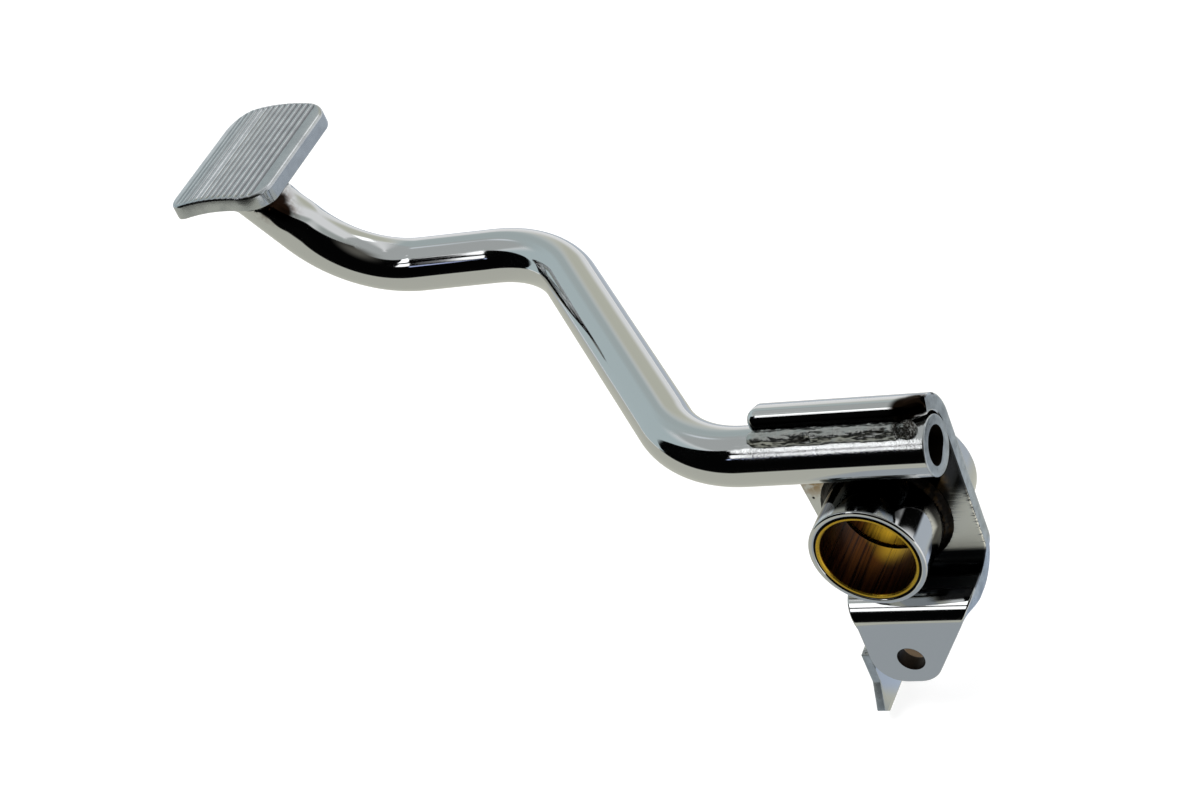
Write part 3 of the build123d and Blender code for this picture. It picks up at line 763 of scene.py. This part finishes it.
# %% [markdown]
# The route has five points: the sawn end, three corners and the pad. It runs a little into the pad, and the
# tube is cut there along the pad's underside, where its end is rounded a little. At the sawn end the bore's
# mouth is worn wider, with a flat below. Both ends are then closed between the outside and the bore.

# %% Bent arm tube
plate = 4.6
bracket_low, bracket_high = (Vector(corner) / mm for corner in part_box("pivot_bracket"))
web_y = bracket_high.y - plate
arm_radius = 15.875 / 2
arm_wall = 3.2
arm_bend = 36.0
arm_end_x = 25.6
arm_height = 28.1
arm_gap = 0.1
arm_y = web_y - arm_gap - arm_radius
runs = ((-70.2, 0, 0), (-73.9, 87.7, 9.4), (-63.9, -4.8, 2.7), (-16.6, -5.6, 35.0))
route = [Vector((arm_end_x, arm_y, arm_height))]
for run in runs:
    route.append(route[-1] + Vector(run))
arm_tip = route[-1]
riser_way = Vector(runs[-1]).normalized()
into_pad = 6.0
curve = bpy.data.curves.new("arm_route", "CURVE")
curve.dimensions = "3D"
line = curve.splines.new("POLY")
line.points.add(len(route) - 1)
for point, place in zip(line.points, route[:-1] + [arm_tip + riser_way * into_pad]):
    point.co = (*(place * mm), 1)
arm = run_tree(
    put("chromed_arm", curve), tube_tree, bend_radius=arm_bend * mm, tube_radius=arm_radius * mm,
    bore_radius=(arm_radius - arm_wall) * mm, ring_step=0.6 * mm, bore_step=2.4 * mm, sides=112,
    wave_height=0.07 * mm, wave_length=24 * mm, spatter_height=0.10 * mm, spatter_size=1.7 * mm,
    spatter_reach=8.5 * mm, weld_start=[-22 * mm, bead_y * mm, bead_z * mm],
    weld_end=[26 * mm, bead_y * mm, bead_z * mm], seed=3.0,
    outside_finish=tube_chrome, bore_finish=bare_steel)
arm.data.materials.append(edge_chrome)
finish_index = {finish.name: index for index, finish in enumerate(arm.data.materials) if finish}
print("the tube has", len(arm.data.polygons), "faces before its ends are made")

# %% Ends of the arm
pad_lean = 10.1
pad_under = 59.0
pad_way = Vector((pad_lean, 0, sqrt(pad_under ** 2 - pad_lean ** 2))).normalized()
sunk, tip_round, skin = 0.05, 0.7, 1.0
work = bmesh.new()
work.from_mesh(arm.data)
bmesh.ops.bisect_plane(work, geom=work.verts[:] + work.edges[:] + work.faces[:], dist=0.0001 * mm,
                       plane_co=(arm_tip + pad_way * sunk) * mm, plane_no=pad_way, clear_outer=True)
for vertex in work.verts:
    place = vertex.co / mm - arm_tip
    spoke = place - riser_way * place.dot(riser_way)
    if spoke.length > arm_radius - skin and place.length < 2 * arm_radius:
        vertex.co -= spoke.normalized() * drop(sunk - place.dot(pad_way), tip_round) * mm
mouth_wall = 2.65
flat_way, flat_push, flat_spread, flat_length = Vector((0, 0.5, -0.87)), 1.5, 0.75, 24.0
bore_margin = 0.2
for vertex in work.verts:
    spoke = Vector((0, vertex.co.y - arm_y * mm, vertex.co.z - arm_height * mm))
    if vertex.co.x > 0 and spoke.length < (arm_radius - arm_wall + bore_margin) * mm:
        turned_away = spoke.angle(flat_way) / flat_spread
        fade = max(0.0, 1 - (arm_end_x - vertex.co.x / mm) / flat_length)
        inward = flat_push * exp(-turned_away ** 2) - (arm_wall - mouth_wall)
        vertex.co -= spoke.normalized() * inward * mm * fade
for at_mouth in (True, False):
    rims = [e for e in work.edges if e.is_boundary and (e.verts[0].co.x > 0) == at_mouth]
    finish = edge_chrome if at_mouth else tube_chrome
    for face in bmesh.ops.bridge_loops(work, edges=rims)["faces"]:
        face.material_index = finish_index[finish.name]
end_margin, rim_margin, saw_bevel = 0.05, 0.3, 0.35
at_rim = {v for v in work.verts if v.co.x / mm > arm_end_x - end_margin
          and hypot(v.co.y / mm - arm_y, v.co.z / mm - arm_height) > arm_radius - rim_margin}
mouth = [e for e in work.edges if at_rim.issuperset(e.verts)]
bmesh.ops.bevel(work, geom=mouth, offset=saw_bevel * mm, segments=4, profile=0.5, affect="EDGES",
                material=finish_index[edge_chrome.name])
bmesh.ops.recalc_face_normals(work, faces=work.faces)
work.to_mesh(arm.data)
work.free()
dress(arm, "arm_tube")

# %% [markdown]
# The bracket is the hardest piece: one sheared blank of thick plate, folded over the arm, dropped past the
# boss, stepped forward and down into the lever tab. Bevelling the solid's mesh leaves spikes where its
# outline runs through the bends. So the blank is laid out flat here, as the press shop does: rows follow the
# fold line, each row reaches as far as the solid does, the rim is rolled by its distance to the outline, and
# the sheet is folded last.

# %% Fold line of the bracket
bend_gap, flange_gap = 0.5, 1.2
top_bend, shelf_bend, tab_bend = arm_radius + bend_gap, 4.0, 7.8
lip = 0.5
tab_y, end_z = bracket_low.y, bracket_low.z
under_z = arm_height + arm_radius + flange_gap
shelf_z = -20.0
turns = [Vector(p) for p in ((web_y - top_bend - lip, under_z), (web_y, under_z), (web_y, shelf_z),
                             (tab_y, shelf_z), (tab_y, end_z))]
stretches = []
here = turns[0]
for before, corner, after, radius in zip(turns, turns[1:], turns[2:], (top_bend, shelf_bend, tab_bend)):
    way, then = (corner - before).normalized(), (after - corner).normalized()
    start = corner - way * radius
    stretches.append(((start - here).length, here, way, way, 0))
    stretches.append((radius * pi / 2, start, way, then, radius))
    here = corner + then * radius
stretches.append(((turns[-1] - here).length, here, then, then, 0))
fold_length = sum(stretch[0] for stretch in stretches)


def on_fold(s):
    """Place on the sheet's front and the way towards its back, as (Y, Z), at a length along the fold line."""
    for length, start, way, then, radius in stretches:
        if s <= length or (length, start) == stretches[-1][:2]:
            break
        s -= length
    place, heading = start + way * s, way
    if radius:
        place = start + way * radius * sin(s / radius) + then * radius * (1 - cos(s / radius))
        heading = way * cos(s / radius) + then * sin(s / radius)
    return place, Vector((-heading.y, heading.x))


print("the blank is", round(fold_length, 1), "mm long when flat")

# %% Blank of the bracket, row by row
rod_x, rod_z, rod_radius, rod_rim = -1.6, -38.8, 3.6, 8.4
rows = [0, 0.015, 0.05, 0.11, 0.2, 0.3, 0.4]
row_counts = (1, 72, 66, 28, 8, 36, 20)
round_end_rows = 40
start = 0
for stretch, count in zip(stretches, row_counts):
    length = stretch[0] - (rod_rim if stretch is stretches[-1] else 0)
    rows += [start + length * i / count for i in range(count)]
    start += stretch[0]
rows = [s for i, s in enumerate(rows) if i == 0 or s > rows[i - 1]]
rows += [fold_length - rod_rim * (1 - sin(radians(90 * i / round_end_rows)))
         for i in range(round_end_rows + 1)]
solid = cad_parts["pivot_bracket"].data
tree_of_faces = BVHTree.FromPolygons([v.co for v in solid.vertices], [p.vertices for p in solid.polygons])
reach_depth, reach_inset, well_outside = 0.15, 0.004, 100 * mm
limits = []
for s in rows:
    place, back = on_fold(min(max(s, reach_inset), fold_length - reach_inset))
    spot = place + back * plate * reach_depth
    hits = [tree_of_faces.ray_cast((side * well_outside, spot.x * mm, spot.y * mm), (-side, 0, 0))[0]
            for side in (-1, 1)]
    limits.append([hit.x / mm for hit in hits])
print("rows:", len(rows), "widest", round(max(b - a for a, b in limits), 1), "mm")

# %% Rim of the blank
lip_roll, edge_roll, front_roll = 4.0, 0.6, 0.4
lip_sag = 0.9
ease_end = 3.0
roll_start, roll_fade = 4.0, 5.0
left_rim = [(a, s, lip_roll + (edge_roll - lip_roll) * min(max((s - roll_start) / roll_fade, 0), 1))
            for s, (a, b) in zip(rows, limits)]
right_rim = [(b, s, lip_roll if s < ease_end else edge_roll) for s, (a, b) in zip(rows, limits)]
outline = left_rim + right_rim[::-1] + left_rim[:1]
rim_step = 0.05
rim = []
for first, second in zip(outline, outline[1:]):
    count = max(1, int(hypot(second[0] - first[0], second[1] - first[1]) / rim_step))
    rim += [tuple(p + (q - p) * i / count for p, q in zip(first, second)) for i in range(count)]
near_rim = kdtree.KDTree(len(rim))
for index, (x, s, roll) in enumerate(rim):
    near_rim.insert((x, s, 0), index)
near_rim.balance()
print("rim points:", len(rim))

# %% Fold the blank and close it
margins = [0, 0.015, 0.05, 0.11, 0.2, 0.32, 0.46, 0.62, 0.8, 1.05, 1.4, 1.8, 2.3, 2.8, 3.2]
inner_columns = 70
columns = 2 * len(margins) + inner_columns
edge_share = 0.45
front, back_side = [], []
top_stretch = 1 + plate / top_bend
for row, (s, (a, b)) in enumerate(zip(rows, limits)):
    place, back = on_fold(s)
    squeeze = min(1, edge_share * (b - a) / margins[-1])
    inset = [m * squeeze for m in margins]
    span = b - a - 2 * inset[-1]
    xs = ([a + m for m in inset]
          + [a + inset[-1] + span * (i + 1) / (inner_columns + 1) for i in range(inner_columns)]
          + [b - m for m in reversed(inset)])
    for column, x in enumerate(xs):
        spot, index, gap = near_rim.find((x, s, 0))
        if row in (0, len(rows) - 1) or column in (0, columns - 1):
            gap = 0
        roll = rim[index][2]
        on_top = top_stretch if lip < s < lip + top_bend * pi / 2 else 1
        sag = lip_sag * max(1 - s / (2 * ease_end), 0) ** 2
        inner = place + back * (drop(gap, front_roll) - sag)
        outer = place + back * (plate - drop(gap * on_top, roll))
        front.append((x, inner.x, inner.y))
        back_side.append((x, outer.x, outer.y))
faces, walls = closed_sheet(len(rows), columns)
bracket = new_piece("folded_bracket", front + back_side, faces + walls, plate_chrome, edge_chrome, bare_steel)
polished_end = 12.0
for polygon, wall in zip(list(bracket.data.polygons)[len(faces):], walls):
    row, column = divmod(wall[0], columns)
    on_lip = rows[row] < ease_end or (rows[row] < polished_end and column == 0)
    polygon.material_index = 0 if on_lip else 1
print("blank has", len(bracket.data.polygons), "faces")


# %% Turned shapes and the two holes
def turned(name, profile, *finishes, centre=(0, 0), steps=180):
    """Spin a closed profile of (radius, Y) points about an axis along Y."""
    angles = [2 * pi * i / steps for i in range(steps)]
    points = [(centre[0] + r * cos(a), y, centre[1] + r * sin(a)) for a in angles for r, y in profile]
    count = len(profile)
    faces = [(i * count + j, i * count + (j + 1) % count, (i + 1) % steps * count + (j + 1) % count,
              (i + 1) % steps * count + j) for i in range(steps) for j in range(count)]
    return new_piece(name, points, faces, *finishes)


boss_radius = 31.75 / 2
past_plate = 20
hole_round, flare_width, flare_angle = 0.35, 1.2, radians(15)
mouth = [(rod_radius + hole_round * (1 - cos(radians(t))), hole_round * (1 - sin(radians(t))))
         for t in range(0, 76, 15)]
flare = (mouth[-1][0] + flare_width, mouth[-1][1] - flare_width * tan(flare_angle))
into = [flare] + mouth[::-1]
tab_back = tab_y + plate
rod_profile = ([(0, tab_y + flare[1])] + [(r, tab_y + y) for r, y in into]
               + [(r, tab_back - y) for r, y in into[::-1]] + [(0, tab_back - flare[1])])
boss_profile = [(0, -past_plate), (boss_radius, -past_plate), (boss_radius, past_plate), (0, past_plate)]
for cutter in (turned("boss_hole", boss_profile, plate_chrome),
               turned("rod_hole", rod_profile, bare_steel, centre=(rod_x, rod_z), steps=96)):
    modifier = bracket.modifiers.new(cutter.name, "BOOLEAN")
    modifier.operation = "DIFFERENCE"
    modifier.solver = "EXACT"
    modifier.material_mode = "TRANSFER"
    modifier.object = cutter
    bracket = plain(bracket)
    bpy.data.objects.remove(cutter)
dress(bracket, "pivot_bracket", sharp=28)

# %% [markdown]
# The boss and the bushes are lathe work, so each is a profile spun about the pivot. A turned edge is never
# knife sharp: a helper rounds the corners of the profile first, which gives every rim its thin line of
# light.


# %% Boss and bushes
def rounded(profile, *radii, steps=5):
    """Round the corners of a closed profile, each by its own radius. The slerp gives spokes of length 1."""
    points = []
    for index, radius in enumerate(radii):
        corner = Vector(profile[index])
        before = (Vector(profile[index - 1]) - corner).normalized()
        after = (Vector(profile[(index + 1) % len(profile)]) - corner).normalized()
        if radius == 0:
            points.append(tuple(corner))
            continue
        half = before.angle(after) / 2
        centre = corner + (before + after).normalized() * radius / sin(half)
        start = corner + before * radius / tan(half) - centre
        stop = corner + after * radius / tan(half) - centre
        points += [tuple(centre + start.slerp(stop, i / steps) * radius) for i in range(steps + 1)]
    return points


boss_half, bush_radius = 18.5, 28.575 / 2
plate_back = web_y + plate
shoulder_radius = 38.1 / 2
boss_rounds = (0.5, 0.6, 0, 0.3, 0.7, 0.5)
boss_section = [
    (bush_radius, -boss_half), (boss_radius, -boss_half), (boss_radius, plate_back),
    (shoulder_radius, plate_back), (shoulder_radius, boss_half), (bush_radius, boss_half)]
boss = turned("turned_boss", rounded(boss_section, *boss_rounds), boss_chrome)
dress(boss, "pivot_boss", sharp=50)
bush_chamfer, bush_gap = 0.5, 1.4
bush_rounds = (0.12, 0.12, 0, 0, 0.1, 0.12)
for name, node, way in (("front_bush_bronze", "front_bush", -1), ("rear_bush_bronze", "rear_bush", 1)):
    mouth_y, inner_y = way * boss_half, way * bush_gap / 2
    chamfer_y = mouth_y - way * bush_chamfer
    bush_section = [
        (bore_radius + bush_chamfer, mouth_y), (bush_radius - bush_chamfer, mouth_y), (bush_radius, chamfer_y),
        (bush_radius, inner_y), (bore_radius, inner_y), (bore_radius, chamfer_y)]
    bush = turned(name, rounded(bush_section, *bush_rounds, steps=3), bronze)
    dress(bush, node, sharp=50)

# %% [markdown]
# The pad is a cast plate, arched across its width, with rounded corners and edges and straight ridges along
# its length. Its blank is a grid whose columns run along the ridges. Each point knows how far it is from the
# rim and how far across the arch, and a Geometry Nodes tree presses the grooves from those two values.

# %% Nodes that press the grooves
tree, given = new_tree("pressed_grooves", pitch="Float", first_groove="Float", last_groove="Float",
                              half_width="Float", depth="Float", left_share="Float", rim_fade="Float",
                              finish="Material")
across, rim_gap = [add(tree, "GeometryNodeInputNamedAttribute", {"data_type": "FLOAT"}, Name=name)
                   for name in ("across", "rim_gap")]
along = add(tree, "ShaderNodeMath", SUBTRACT, _0=across, _1=given["first_groove"])
along = add(tree, "ShaderNodeMath", DIVIDE, _0=along, _1=given["pitch"])
whole = add(tree, "ShaderNodeMath", {"operation": "ROUND"}, _0=along)
off = add(tree, "ShaderNodeMath", SUBTRACT, _0=along, _1=whole)
off = add(tree, "ShaderNodeMath", {"operation": "ABSOLUTE"}, _0=off)
off = add(tree, "ShaderNodeMath", MULTIPLY, _0=off, _1=given["pitch"])
shape = add(tree, "ShaderNodeMapRange", SMOOTH, Value=off, From_Min=given["half_width"], From_Max=0.0)
half_pitch = add(tree, "ShaderNodeMath", MULTIPLY, _0=given["pitch"], _1=0.5)
left_stop = add(tree, "ShaderNodeMath", SUBTRACT, _0=given["last_groove"], _1=half_pitch)
right_stop = add(tree, "ShaderNodeMath", {"operation": "ADD"}, _0=given["first_groove"], _1=half_pitch)
for edge, kind in ((left_stop, "GREATER_THAN"), (right_stop, "LESS_THAN")):
    inside = add(tree, "ShaderNodeMath", {"operation": kind}, _0=across, _1=edge)
    shape = add(tree, "ShaderNodeMath", MULTIPLY, _0=shape, _1=inside)
fade = add(tree, "ShaderNodeMapRange", SMOOTH, Value=rim_gap, From_Min=0.0, From_Max=given["rim_fade"])
worn = add(tree, "ShaderNodeMapRange", SMOOTH, Value=across, From_Min=given["last_groove"], From_Max=0.0,
           To_Min=given["left_share"], To_Max=1.0)
for share in (fade, worn):
    shape = add(tree, "ShaderNodeMath", MULTIPLY, _0=shape, _1=share)
down = add(tree, "ShaderNodeMath", MULTIPLY, _0=shape, _1=given["depth"])
down = add(tree, "ShaderNodeMath", MULTIPLY, _0=down, _1=-1.0)
push = add(tree, "ShaderNodeVectorMath", SCALE,
           _0=add(tree, "GeometryNodeInputNormal"), Scale=down)
kept = add(tree, "GeometryNodeStoreNamedAttribute", {"data_type": "FLOAT", "domain": "POINT"},
           Geometry=given["Geometry"], Name="groove", Value=shape)
pressed = add(tree, "GeometryNodeSetPosition", Geometry=kept, Offset=push)
real = add(tree, "GeometryNodeRealizeInstances", Geometry=pressed)
done = add(tree, "GeometryNodeSetMaterial", Geometry=real, Material=given["finish"])
add(tree, "NodeGroupOutput", Geometry=done)
groove_tree = tree
print("pressed_grooves has", len(tree.nodes), "nodes")

# %% Blank of the pad
pad_half_x, pad_half_y = 34.7 / 2, 49.0 / 2
pad_top = 64.0
arm_from_side = 9.2
pad_x = arm_tip.x - pad_lean
pad_y = arm_tip.y - arm_from_side + pad_half_y
arch_z = arm_tip.z - sqrt(pad_under ** 2 - pad_lean ** 2)
large_corner, small_corner = 8.5, 6.5
top_edge, under_edge = 0.95, 0.5


def corner_of(x, y):
    """Corner radius of the quarter of the pad that a place lies in."""
    return large_corner if x * y < 0 else small_corner


def side_end(x, side):
    """Y of the pad's rim at an X, on the inner (-1) or outer (1) side."""
    radius = corner_of(x, side)
    past = abs(x) - (pad_half_x - radius)
    return side * (pad_half_y - (radius - sqrt(max(radius ** 2 - past ** 2, 0)) if past > 0 else 0))


def gap_to_rim(x, y):
    """Distance from a place on the pad to its rim."""
    radius = corner_of(x, y)
    u, v = abs(x) - (pad_half_x - radius), abs(y) - (pad_half_y - radius)
    return radius - min(max(u, v), 0) - hypot(max(u, 0), max(v, 0))


pitch = 2.05
column_step, end_zone, end_steps = pitch / 12, 1.0, 20
inner = int(2 * (pad_half_x - end_zone) / column_step)
half_columns = [pad_half_x - end_zone + end_zone * sin(radians(90 * i / end_steps))
                for i in range(1, end_steps + 1)]
xs = ([-x for x in reversed(half_columns)]
      + [(2 * i / inner - 1) * (pad_half_x - end_zone) for i in range(inner + 1)] + half_columns)
ends = [0, 0.02, 0.07, 0.15, 0.26, 0.4, 0.56, 0.75, 0.95, 1.2, 1.6, 2.1]
inner_rows = 50
upper, lower, across_values, gap_values = [], [], [], []
for x in xs:
    a, b = side_end(x, -1), side_end(x, 1)
    span = b - a - 2 * ends[-1]
    ys = ([a + e for e in ends]
          + [a + ends[-1] + span * (i + 1) / (inner_rows + 1) for i in range(inner_rows)]
          + [b - e for e in reversed(ends)])
    for index, y in enumerate(ys):
        gap = 0 if index in (0, len(ys) - 1) or x in (xs[0], xs[-1]) else max(gap_to_rim(x, y), 0)
        upper.append((pad_x + x, pad_y + y, arch_z + sqrt((pad_top - drop(gap, top_edge)) ** 2 - x ** 2)))
        lower.append((pad_x + x, pad_y + y, arch_z + sqrt((pad_under + drop(gap, under_edge)) ** 2 - x ** 2)))
        across_values.append(pad_top * asin(x / pad_top) * mm)
        gap_values.append(gap * mm)
print("pad grid:", len(xs), "columns of", len(ys), "points")

# %% Pad
faces, walls = closed_sheet(len(xs), len(ys))
holder = new_piece("cast_pad", upper + lower, faces + walls)
ungrooved = [0.0] * len(lower)
for name, values in (("across", across_values + across_values), ("rim_gap", gap_values + ungrooved)):
    layer = holder.data.attributes.new(name, "FLOAT", "POINT")
    layer.data.foreach_set("value", values)
groove_margin, groove_count = 3.2, 14
first_groove = pad_half_x - groove_margin - pitch / 2
last_groove = first_groove - (groove_count - 1) * pitch
pad = run_tree(holder, groove_tree, pitch=pitch * mm, first_groove=first_groove * mm,
               last_groove=last_groove * mm, half_width=0.75 * mm, depth=0.78 * mm, left_share=0.28,
               rim_fade=2.2 * mm, finish=cast_chrome)
nick_depth = 0.4
for nick, reach in (((-195.4, 61.0, 77.5), 1.1), ((-192.5, 64.5, 77.5), 1.3)):
    dent(pad, nick, reach, nick_depth)
dress(pad, "pedal_pad", sharp=60)

# %% [markdown]
# The arm stands close to the pad's edge. Its end and the weld round it were ground back after welding, so
# what would stand out past the pad's rim is drawn in, less and less down the arm.


# %% Tuck the arm's end in under the pad
def tuck(piece, inset, reach=9.0):
    """Draw a piece in to an inset from the pad's rim, fading over a reach below the pad, in millimetres."""
    for vertex in piece.data.vertices:
        place = vertex.co / mm - arm_tip
        below = -place.dot(pad_way)
        if below < reach and place.length < 3 * arm_radius:
            gap = gap_to_rim(vertex.co.x / mm - pad_x, vertex.co.y / mm - pad_y)
            spoke = place - riser_way * place.dot(riser_way)
            fade = (1 - max(below, 0) / reach) ** 2
            vertex.co -= (spoke.normalized() * max(inset - gap, 0) * fade + pad_way * max(-below, 0)) * mm


arm_proud, bead_inset = 0.25, 0.9
tuck(arm, -arm_proud)
print("the arm ends", round(gap_to_rim(arm_tip.x - pad_x, arm_tip.y - pad_y), 1), "mm inside the pad's rim")

# %% [markdown]
# Welds are laid by hand, so no two lumps are alike. The solids hold plain beads. Each is remeshed into small
# even faces, and a Geometry Nodes tree then lifts and sinks them by noise with a fixed seed, stretched along
# the bead. The tree also stores how deep each point lies, which the finish uses to darken the hollows. The
# bead at the pad was ground and polished with the arm, so it wears the tube's chrome and its heat stain.

# %% Nodes that roughen a weld
tree, given = new_tree("hand_laid_weld", lump_size="Float", lump_height="Float", lump_stretch="Vector",
                            grit_size="Float", grit_height="Float", seed="Float", finish="Material")
where = add(tree, "GeometryNodeInputPosition")
laid = add(tree, "ShaderNodeVectorMath", DIVIDE, _0=where, _1=given["lump_stretch"])
noises = []
for place, size in ((laid, "lump_size"), (where, "grit_size")):
    scale = add(tree, "ShaderNodeMath", DIVIDE, _0=1.0, _1=given[size])
    noise = add(tree, "ShaderNodeTexNoise", {"noise_dimensions": "4D"}, Vector=place, W=given["seed"],
                Scale=scale, Detail=2.0)
    noises.append(add(tree, "ShaderNodeMath", SUBTRACT, _0=noise, _1=0.5))
rise = add(tree, "ShaderNodeMath", MULTIPLY, _0=noises[0], _1=given["lump_height"])
rise = add(tree, "ShaderNodeMath", MULTIPLY_ADD, _0=noises[1], _1=given["grit_height"], _2=rise)
push = add(tree, "ShaderNodeVectorMath", SCALE,
           _0=add(tree, "GeometryNodeInputNormal"), Scale=rise)
depth = add(tree, "ShaderNodeMapRange", Value=noises[0], From_Min=0.2, From_Max=-0.2)
kept = add(tree, "GeometryNodeStoreNamedAttribute", {"data_type": "FLOAT", "domain": "POINT"},
           Geometry=given["Geometry"], Name="hollow", Value=depth)
laid_down = add(tree, "GeometryNodeSetPosition", Geometry=kept, Offset=push)
real = add(tree, "GeometryNodeRealizeInstances", Geometry=laid_down)
done = add(tree, "GeometryNodeSetMaterial", Geometry=real, Material=given["finish"])
add(tree, "NodeGroupOutput", Geometry=done)
weld_tree = tree
print("hand_laid_weld has", len(tree.nodes), "nodes")

# %% Weld beads
bead_shift = Vector((0, -0.30, -0.15))
for name, node, voxel, size, height, stretch, grit, seed, finish in (
        ("flange_bead", "flange_weld", 0.22, 1.4, 1.5, (3.0, 1, 1), 0.30, 7.0, bead_chrome),
        ("boss_bead", "boss_weld", 0.24, 2.4, 0.4, (1, 1, 1), 0.06, 2.0, scorched_and_shaded),
        ("pad_bead", "pad_weld", 0.16, 1.8, 0.4, (1, 1, 1), 0.1, 5.0, tube_chrome),
        ("stop_bead", "stop_weld", 0.12, 1.0, 0.6, (1, 1, 1), 0.2, 4.0, bead_chrome)):
    bead = merged_copy(node, name)
    remesh = bead.modifiers.new("small_faces", "REMESH")
    remesh.mode = "VOXEL"
    remesh.voxel_size = voxel * mm
    bead = run_tree(plain(bead), weld_tree, lump_size=size * mm, lump_height=height * mm,
                    lump_stretch=stretch, grit_size=0.6 * mm, grit_height=grit * mm, seed=seed, finish=finish)
    if node == "flange_weld":
        for vertex in bead.data.vertices:
            vertex.co += bead_shift * mm
        dent(bead, (-20.5, -13.4, 36.6), 2.4, -0.5)
        dent(bead, (-5.6, -13.6, 36.4), 1.2, 0.8)
    if node == "pad_weld":
        tuck(bead, bead_inset)
    dress(bead, node, sharp=180)

# %% [markdown]
# The stop is a small cut plate. Its solid already has the right form, so a copy is cleaned of needless edges
# and its corners are rounded by a Bevel modifier.

# %% Stop plate
stop = merged_copy("stop_tab", "stop_plate")
work = bmesh.new()
work.from_mesh(stop.data)
bmesh.ops.dissolve_limit(work, angle_limit=radians(2), verts=work.verts, edges=work.edges)
work.to_mesh(stop.data)
work.free()
stop.data.materials.append(plate_chrome)
bevel = stop.modifiers.new("rounded_edges", "BEVEL")
bevel.width = 0.3 * mm
bevel.segments = 3
bevel.limit_method = "ANGLE"
bevel.angle_limit = radians(25)
stop.data.materials.append(edge_chrome)
stop = plain(stop)
for polygon in stop.data.polygons:
    polygon.material_index = 0 if abs(polygon.normal.x) > 0.9 else 1
dress(stop, "stop_tab", sharp=30)
